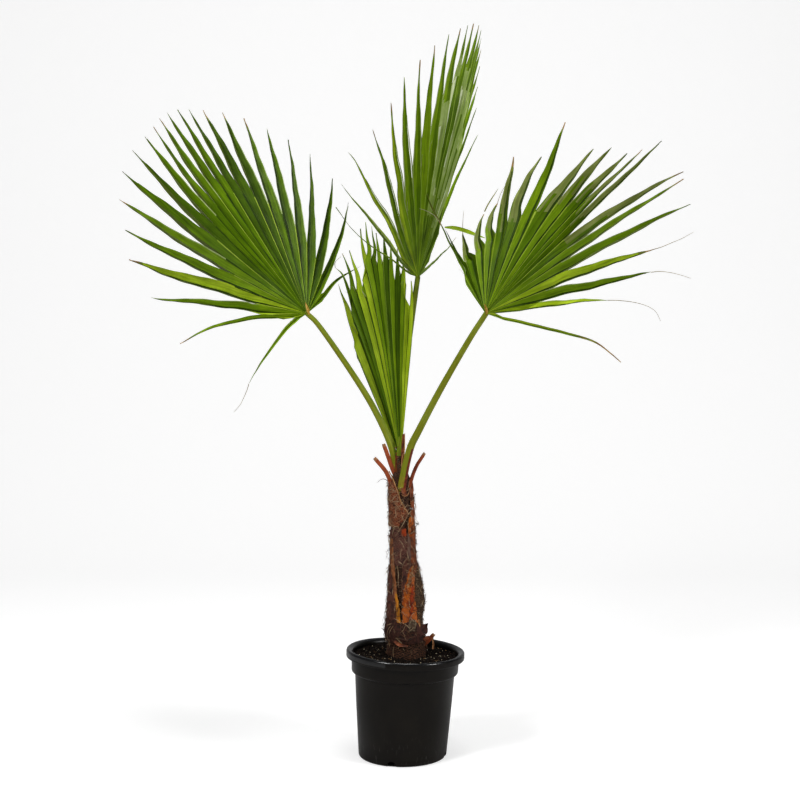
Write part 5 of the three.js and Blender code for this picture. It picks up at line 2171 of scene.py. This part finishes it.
# Sheaths at the back: finish, and rows as a tongue takes them
BACK_SHEATHS: Sequence[tuple[Finish, Rows]] = (
    (SHEATH, ((18, 178, 46, 2), (70, 182, 50, 3), (120, 186, 38, 4), (170, 188, 20, 5), (192, 188, 8, 6))),
    (DARK_SHEATH, ((120, 140, 34, 1.6), (170, 138, 34, 2.4), (230, 134, 26, 3), (262, 132, 12, 4))),
    (SHEATH, ((190, 206, 40, 1), (240, 208, 44, 1.6), (290, 204, 34, 2.4), (330, 202, 14, 3))),
    (RUST, ((60, 122, 22, 2), (110, 120, 20, 3), (170, 122, 12, 4), (200, 124, 4, 5))),
    (ORANGE, ((70, 244, 18, 2), (110, 242, 18, 3), (160, 240, 10, 4), (190, 240, 4, 4))),
    (BOOT, ((0, 176, 70, 1), (22, 176, 66, 4), (40, 178, 50, 5), (50, 180, 26, 4))),
    (RUST, ((250, 60, 22, 1.4), (290, 64, 20, 2.4), (330, 66, 12, 3))),
)
# Torn scraps: finish, half widths, and pixels across, down and stand-off
SCRAPS: Sequence[tuple[Finish, Sequence[float], Rows]] = (
    (BOOT, (8, 12, 8, 0.6), ((418, 632, 3), (422, 630, 5), (425.4, 626, 7), (428, 623.4, 9))),
    (BOOT, (3, 5, 5, 2), ((398, 634, 5), (402, 637.4, 6), (408, 638, 6), (415, 635.4, 5))),
    (CUT, (2.0, 2.2, 1.6), ((433, 649, 2), (433.4, 643, 4), (432.6, 638, 5))),
    (RUST, (3, 4, 1), ((424, 640, 4), (428.6, 637, 8), (432, 637.8, 11))),
    (RUST, (2.6, 3.6, 1), ((394, 641, 5), (400, 645, 8), (408, 646, 8))),
    (RUST, (3, 5, 2), ((402, 488, 2), (404, 492, 3), (405.6, 496, 3))),
    (RUST, (3, 4.4, 2), ((411, 480, 1), (411.6, 490, 2), (411, 500, 2))),
    (HEM, (1.4, 2.4, 0.8), ((418.6, 619, 3), (419.2, 625, 4), (418.8, 631, 4))),
)
# Edges with hooked teeth: first and last spot, side that the teeth lean to, and their number
TOOTHED_EDGES = (((394.6, 448), (401.4, 482), 1, 7), ((408.6, 446), (402.8, 480), -1, 7))
# Tufts: name, finish, length, number of hairs, and pixels across, down and stand-off
TUFTS: Sequence[tuple[str, Finish, float, int, Sequence[float]]] = (
    ("dark_tuft", FIBRE, 4.0, 16, (411.6, 498.6, 2)), ("pale_tuft", FLUFF, 4.0, 10, (411.6, 509, 2)),
    ("side_tuft", FLUFF, 5.0, 12, (417, 524, 1)), ("low_tuft", FLUFF, 4.0, 10, (419.6, 605, 3)),
    ("glint_tuft", FLUFF, 2.4, 8, (417, 594.6, 4)),
)
# Hairs that stand loose all round the trunk
LOOSE_HAIRS = 64
# Loose strings: finish, radius, and pixels across, down and stand-off
STRINGS: Sequence[tuple[Finish, float, Rows]] = (
    (HEM, 1.1, ((389, 471, 3), (392, 477, 4), (394.6, 483.5, 4.4), (398.4, 494, 4.6), (401.2, 502.4, 4.4),
                (405.6, 509.8, 4), (411, 515.6, 3.4))),
    (STRING, 0.55, ((411, 511, 4), (408, 515, 4.4), (403.4, 523.6, 4), (400, 529, 3.4), (394.4, 538, 3))),
    (STRING, 0.6, ((392, 529, 2.4), (395, 526.6, 3.4), (398, 527, 3.6), (400.4, 531, 3))),
    (HEM, 0.6, ((401.6, 494.4, 3), (403.6, 496, 4), (406, 496, 4.2), (408.2, 494, 4), (409.6, 490, 3))),
    (HEM, 0.7, ((410.4, 503.6, 1), (413.2, 502.3, 1), (415.6, 505, 1), (416, 508.4, 1), (414, 511.4, 1))),
    (HEM, 0.6, ((413.6, 510.6, 1), (415, 514, 1), (415.8, 517.8, 1), (415, 519.4, 1))),
    (FIBRE, 0.7, ((391, 488, 2), (389, 482.6, 2), (385.6, 479.6, 2), (381.6, 479.2, 2), (376.7, 483, 2))),
    (FIBRE, 1.1, ((392, 534, 2), (389.6, 535.4, 2), (387, 535.6, 2))),
    (STRING, 0.7, ((389.2, 535.6, 1), (388.6, 541, 1), (390, 547, 1), (390.6, 553, 1))),
    (STRING, 0.5, ((390.4, 536, 2), (390, 542, 2), (391.2, 549, 2))),
    (FIBRE, 0.5, ((390.4, 592, 1), (388, 600, 1), (386.6, 606, 1), (385, 611, 1), (384.6, 615, 1),
                  (382.8, 620, 1), (383.4, 624, 1), (381.6, 626.4, 1))),
    (STRING, 0.45, ((390, 596, 1), (388.6, 604, 1), (388, 612, 1), (387.6, 618, 1))),
    (FIBRE, 0.45, ((389.6, 598, 1), (387, 604, 1), (386, 609, 1))),
    (STRING, 0.6, ((397.4, 562.4, 2), (397.6, 568, 2.6), (398.4, 574, 2.4), (398.2, 581, 2.6),
                   (398.8, 588, 2))),
    (STRING, 0.6, ((394.6, 562.4, 3), (398, 561.8, 3.4), (401, 563.4, 3.6), (404.4, 566.6, 3.6))),
    (HEM, 0.4, ((402.6, 572, 3.6), (402.4, 582, 3.8), (401.4, 592, 3.4))),
    (STRING, 0.5, ((415.2, 519, 2), (417.6, 522, 2), (418.6, 524.4, 2), (416, 526, 2), (416, 529, 2))),
    (HEM, 0.5, ((414.8, 560, 1), (414, 566, 2), (412.6, 570, 3))),
)


def build_fans() -> None:
    """Makes the four fan blades, then the bent leaflet and the crests of their hubs."""
    # Each fan's tones paint light and shade on its leaflets as well as their own greens, and its sides paint
    # one side of each fold lighter and the other darker
    Fan(
        "frond_left", "leaf_blade", (-193, 25, 901), -40, 0, 60, 0.05, 0.95, 23, LEFT_SHAPE,
        strays=((21, -4, 40),), tones=((0, 2.6), (4, 2.4), (7, 1.0), (16, 0.8), (22, 1.0)), seed=1.3,
        courses=LEFT_COURSES,
        slim={0: ((0, 1.1), (1, 1.1)), 1: ((0, 0.62), (1, 1)), 22: ((0, 0.7), (1, 0.5))},
        splits={
            1: (295, 317.7), 2: (273, 315.5), 3: (255.5, 305.5), 4: (232, 289), 5: (231.5, 277),
            6: (223.5, 261.5), 22: (320.5, 295),
        },
        threads={0: ((247, 390), (243.6, 398), (240, 405), (234, 412))},
    ).build()
    right = Fan(
        "frond_right", "leaf_blade", (158.4, -140.7, 904), 47, 0, -53, 0.05, 0.95, 20, RIGHT_SHAPE,
        strays=((5, -7, 20), (6, -3, -10), (7, -7, 50), (8, 2, -20), (12, -1, 15), (13, 6, 0)),
        shifts=((0, 0), (1, -3), (2, -5), (4, -6.5), (7, -5.5), (9, -3.5), (12, -0.5), (13, 0)),
        tones=((0, 0.9), (3, 0.8), (5, 0.5), (7, 1.4), (8, 1.0), (12, 0.8), (16, 2.3), (19, 2.4)),
        sides=(0.5, -0.5), seed=2.1, dull=(2, 3, 4, 5, 6, 8, 9, 10, 11, 12, 13),
        courses=RIGHT_COURSES, dry={16: 0.08, 13: 0.05, 14: 0.06, 19: 0.2, 5: 0.1, 7: 0.04},
        slim={
            0: ((0, 0.7), (0.5, 0.9), (0.8, 1.5), (0.95, 2.4), (1, 3)), 1: ((0, 0.6), (0.3, 0.4), (1, 0.6)),
            18: ((0, 0.85), (1, 1)), 19: ((0, 0.9), (0.3, 1.1), (1, 1.5)),
        },
        splits={
            1: (467, 275), 2: (463, 264), 3: (472.7, 257), 4: (482, 245), 5: (494.3, 234), 6: (507, 224),
            7: (521, 216.5), 8: (535, 214), 11: (571.5, 207), 12: (569, 222), 13: (565, 240.5),
            14: (568, 248), 15: (562, 263), 16: (558, 277), 17: (547.5, 292.5), 18: (541.5, 304.5),
            19: (496, 313),
        },
        threads={
            16: ((662, 246.8), (672, 242.6), (682, 238.4), (694, 231.8)),
            17: ((660, 271.4), (670, 272.5), (680, 274.8), (691, 278.4)),
            18: ((620, 300.5), (635, 302.5), (648, 306.4), (656, 312), (660.6, 321)),
            2: ((462.8, 222), (463.7, 211)), 4: ((500.6, 194), (504.6, 187), (509, 183.6)),
            0: ((433.6, 215), (426, 210.7), (419.5, 208.6)),
        },
    )
    right.build()
    Fan(
        "frond_back", "leaf_blade", (32, 120, 975), 14, 0, -104.5, 0.12, 0.95, 21, BACK_SHAPE,
        tones=((0, 2.6), (2, 2.6), (3, 2.3), (6, 2.6), (10, 2.3), (14, 2.2), (16, 1.6), (18, 1.4), (20, 2.0)),
        # These leaflets carry painted sheen on one side of each fold
        sheen_leaflets=(9, 10, 12, 13, 14, 15, 16, 17), seed=3.7, courses=BACK_COURSES, narrow=0.8, life=0.6,
        shifts=((0, -1.7), (1, -2.6), (2, -3.3), (3, -0.5), (5, 0), (17, 0), (18, -14), (19, -22), (20, -14)),
        slim={
            0: ((0, 0.9), (1, 0.5)), 1: ((0, 0.9), (0.25, 1.4), (0.6, 1.5), (1, 1.1)),
            2: ((0, 0.9), (0.2, 1.0), (0.6, 1.1), (1, 1.0)),
            3: ((0, 0.9), (0.15, 0.95), (0.6, 1.05), (1, 1.0)), 4: ((0, 0.9), (0.15, 0.9), (1, 1.0)),
            5: ((0, 1.0), (0.2, 0.9), (1, 0.95)),
            18: ((0, 0.7), (1, 0.8)), 19: ((0, 0.6), (1, 0.7)), 20: ((0, 0.8), (1, 0.8)),
        },
        sheen_side=-1, sides=(-0.3, 0.3), hems=(1, 2, 3, 4, 5, 6),
        splits={
            1: (409, 272), 2: (403.5, 259), 3: (403.5, 246), 4: (404.5, 230), 5: (408, 210),
            6: (413.3, 195), 7: (420.5, 165), 8: (428, 155), 9: (436.5, 130), 18: (437, 218),
            19: (432, 248), 20: (423, 270),
        },
    ).build()
    Fan(
        "frond_young", "young_leaf", (-3.2, 7, 607), -8, 17, 135, 0.0, 1.0, 14, YOUNG_SHAPE,
        tones=((0, 3.4), (1, 2.6), (2, 1.6), (3, 0.6), (4, 1.4), (5, 0.4), (6, 1.8), (7, 0.4), (8, 1.4),
               (9, 2.8), (10, 3.4), (11, 1.0), (12, 0.2), (13, 3.4)),
        seed=4.4, young=True, inner=20.0, sides=(0.3, -0.6), courses=YOUNG_COURSES,
        shifts=((0, 0.6), (1, 1.4), (3, 2.0), (5, 1.5), (6, 0.9), (7, -1.9), (8, -3), (9, -3.5),
                (10, -2.0), (11, -2.3), (12, -3.6), (13, 0.7)),
        taper=1.0, narrow=0.8, life=0.25,
        slim={0: ((0, 1), (0.4, 1.4), (0.8, 2.2), (1, 3)), 1: ((0, 0.6), (1, 0.9)),
              12: ((0, 0.75), (1, 0.9)), 13: ((0, 1), (0.15, 1.35), (0.5, 1.4), (1, 0.9))},
        splits={
            1: (406.5, 316), 2: (402, 284), 3: (394.5, 272), 5: (383.5, 251), 6: (378.5, 263),
            8: (370.5, 251), 9: (367, 256), 10: (366, 297), 11: (356.5, 290), 12: (352, 296),
            13: (358.5, 331),
        },
        threads={12: ((335, 263), (337.4, 259.6), (341, 256.6))},
    ).build()
    bent, level = Surface("bent_leaflet"), right.tip(3)[1] - 22
    Strap(
        VIEW.spots(BENT_LEAFLET, level, 2), (1.6, 4.6, 5.0, 5.4, 3.6, 0.8), toward=(0.1, -1.0, 0.5),
        finish=YOUNG, fold=0.5, turn=20,
    ).join(bent)
    for wide, spots in WITHERED_TIPS:
        path = VIEW.spots(spots, level + 14)
        Strap(path, (wide, wide, wide * 0.8, 0.3), finish=FADING, fold=0.2, turn=60).join(bent)
    settle(bent.piece(sharp=60), "leaf_blade")
    crests = Surface("hub_crests")
    for depth, spots in HUB_CRESTS:
        path = VIEW.spots(spots, depth)
        Strap(path, (0.6, 2.4, 3.2, 1.8), toward=(0.0, -1.0, 0.4), finish=HUB, fold=0.5, turn=10).join(crests)
    settle(crests.piece(sharp=60), "leaf_blade")


def build_limbs() -> None:
    """Makes the leaf stalks, the stumps of old ones and the dry flaps between them."""
    flaps = Surface("dry_flaps")
    for finish, depth, spots in DRY_FLAPS:
        wide = (0.6, 1.0, 0.9, 0.6) if finish is HEM else (2.6, 3.6, 3.4, 2.0)
        Strap(VIEW.spots(spots, depth), wide, finish=finish).join(flaps)
    settle(flaps.piece(sharp=60), "dry_stub")
    for limb in (
        Limb(
            "petiole_young", "leaf_stalk", ((-5, 0, 560), (-5.6, 0, 600), (-6.6, 3, 650)), (12, 1.6),
            (7, 1.2), beyond=3, steps=30, skin=YOUNG_STALK, growth=1.0, foot=CORE, foot_share=0.6,
        ),
        Limb(
            "petiole_right", "leaf_stalk",
            ((-8, -12, 500), (-1, -18, 562), (14, -32, 631), (32, -46, 671), (74, -76, 754),
             (128, -117, 852), (160, -140, 904)),
            (11, 5.5), (6, 4), channel=(180, 200), edge=TOOTH, edge_turn=-20,
        ),
        Limb(
            "petiole_left", "leaf_stalk",
            ((2, 6, 530), (-11, 8, 585), (-25, 9, 640), (-58, 12, 710), (-102, 17, 781), (-167, 23, 874),
             (-193, 25, 901)),
            (9, 5), (5.5, 4), channel=(-30, -50),
        ),
        Limb(
            "petiole_back", "leaf_stalk",
            ((0, 8, 540), (-4, 14, 584), (-6, 24, 651), (-2, 44, 720), (6, 68, 790), (22, 102, 905),
             (32, 120, 975)),
            (8, 5.4), (5, 3.8), skin=BACK_STALK,
        ),
    ):
        limb.build()
    stumps = {
        "stub_left_low": (((-6, -8, 530), (-21, -9, 556), (-34, -8, 584), (-54, -7, 608)), 5, 2.6),
        "stub_left_high": (((-8, 4, 560), (-22, 5, 592), (-29, 6, 612), (-37, 7, 634)), 5, 2.6),
        "stub_right": (((8, -6, 536), (16, -8, 562), (27, -7, 592), (43, -6, 618)), 4.2, 2.2),
        "stub_low": (((36, 10, 222), (50, 10, 232), (62, 10, 245)), 5, 2.5),
    }
    for name, (path, wide, thick) in stumps.items():
        Limb(
            name, "dry_stub", path, (wide, wide * 0.8), (thick, thick * 0.8), skin=STUB, foot=STUB,
            dip=0.15, groove=STUB, end=CUT, ragged=0.5, beyond=2.5, growth=1.0, steps=40,
        ).build()


def strand(name: str, length: float, radius: float, bend: float) -> Piece:
    """Makes a short curved fibre to strew, hidden from the render."""
    path = np.array([[length * (t - 0.5), bend * math.sin(3 * t), 0.3 * bend * (t - 0.5) ** 2]
                     for t in np.linspace(0, 1, 6)])
    fibre = tube_mesh(name, [path], [lambda t: radius * (1 - 0.6 * abs(2 * t - 1))], 4)
    fibre.hide_render = True
    return fibre


def build_trunk() -> None:
    """Makes the trunk's core, the sheaths round it and the fibres that hang from them."""
    trunk = Trunk()
    grounds = [(trunk.core(), 9000, "core")]
    for name, tongues in SHEATHS.items():
        surface = Surface(name + "_skin")
        for finish, hem, fray, rows in tongues:
            wide = max(row[2] - row[1] for row in rows) * 2
            Tongue(
                trunk.as_seen(rows), finish, hem, bulge=min(1.6, 0.12 * wide), fray=fray, ridged=1.1,
            ).join(surface, trunk)
        grounds.append((settle(surface.piece(sharp=50), "sheath_fibre", name), 11000, name))
    back = Surface("sheath_back_skin")
    for finish, rows in BACK_SHEATHS:
        Tongue(rows, finish, fray=1.2, bulge=1.4, columns=34).join(back, trunk)
    grounds.append((settle(back.piece(sharp=50), "sheath_fibre", "sheath_back"), 7000, "back"))
    for ground, density, prefix in grounds:
        pale = 1.6 if prefix == "sheath_high_left" else 0.4
        for finish, share, seed in ((FIBRE, 1.0, 4), (STRING, pale, 8)):
            hairs = Scatter(f"{prefix}_{finish.name}", density * share, 0.5, 1.5, 1.4, lying=True, seed=seed)
            settle(hairs.strew(ground, strand("hair", 17, 0.4, 1.5), finish.material()), "sheath_fibre")
    scraps(trunk)
    strings(trunk)


def scraps(trunk: Trunk) -> None:
    """Makes the torn scraps, the hooked teeth and the tufts that stand out from the trunk."""
    torn = Surface("torn_scraps")
    for finish, widths, spots in SCRAPS:
        path = trunk.under(*spots)
        Strap(path, widths, toward=(0.1, -1.0, 0.25), finish=finish, turn=10).join(torn)
    settle(torn.piece(sharp=50), "sheath_fibre")
    hooks, radii = [], []
    for (x0, y0), (x1, y1), lean, count in TOOTHED_EDGES:
        for k in range(count):
            t = (k + 0.5 * fraction(3.3 * k)) / count
            x, y = x0 + (x1 - x0) * t, y0 + (y1 - y0) * t
            reach = 2.0 + 2.2 * fraction(7.1 * k + lean)
            spots = ((x, y, -20), (x + lean * reach * 0.6, y - 0.4, -23), (x + lean * reach, y - 2.2, -24))
            hooks.append(smooth_path([VIEW.spot(*spot) for spot in spots], 8))
            radii.append(lambda t: 1.0 - 0.85 * t)
    dressed_tube("stalk_teeth", hooks, radii, 6, TOOTH, "leaf_stalk")
    for name, finish, length, count, spot in TUFTS:
        paths = []
        middle = trunk.under(spot)[0]
        for k in range(count):
            turn, rise = TURN * fraction(2.3 * k), 1.6 * (fraction(4.1 * k) - 0.5)
            away = np.array([math.cos(turn), -0.5 - 0.4 * rise, math.sin(turn)]) * length
            away = away * (0.5 + fraction(k * 1.9))
            bend = np.array([-math.sin(turn), 0.0, math.cos(turn)]) * length * 0.4
            paths.append(smooth_path([middle, middle + away * 0.6 + bend * 0.3, middle + away + bend], 8))
        dressed_tube(name, paths, [lambda t: 0.6 - 0.4 * t] * count, 5, finish, "sheath_fibre")


def strings(trunk: Trunk) -> None:
    """Makes the loose strings, hems and loops of the photograph, and others all round."""
    runs = [(finish, radius, trunk.under(*spots)) for finish, radius, spots in STRINGS]
    for k in range(LOOSE_HAIRS):
        up, turn = 30 + 310 * fraction(k + 0.3), 360 * fraction(2.1 * k)
        rise, swing, stand = 16 * fraction(1.7 * k), 34 * (fraction(5 * k) - 0.5), 9 * fraction(3.3 * k)
        points = [trunk.on(up + rise * t - 20 * t * t, turn + swing * t, 1.5 + stand * t)
                  for t in np.linspace(0, 1, 5)]
        runs.append((FIBRE if k % 3 else STRING, 0.4, np.array(points)))
    by_finish: dict[Finish, tuple[list[np.ndarray], list[Radius]]] = {}
    for finish, radius, points in runs:
        paths, radii = by_finish.setdefault(finish, ([], []))
        paths.append(smooth_path(points, 8 * len(points)))
        radii.append(lambda t, r=radius: r * (1 - 0.7 * t**3))
    for finish, (paths, radii) in by_finish.items():
        dressed_tube("strings_" + finish.name, paths, radii, 6, finish, "sheath_fibre")


def main() -> None:
    """Builds the palm over its frame, piece by piece."""
    logging.basicConfig(level=logging.INFO, format="%(message)s")
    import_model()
    pot = Pot()
    pot.build()
    PottingMix(pot).build()
    build_trunk()
    build_limbs()
    build_fans()
    Studio().build()


if __name__ == "__main__":
    main()
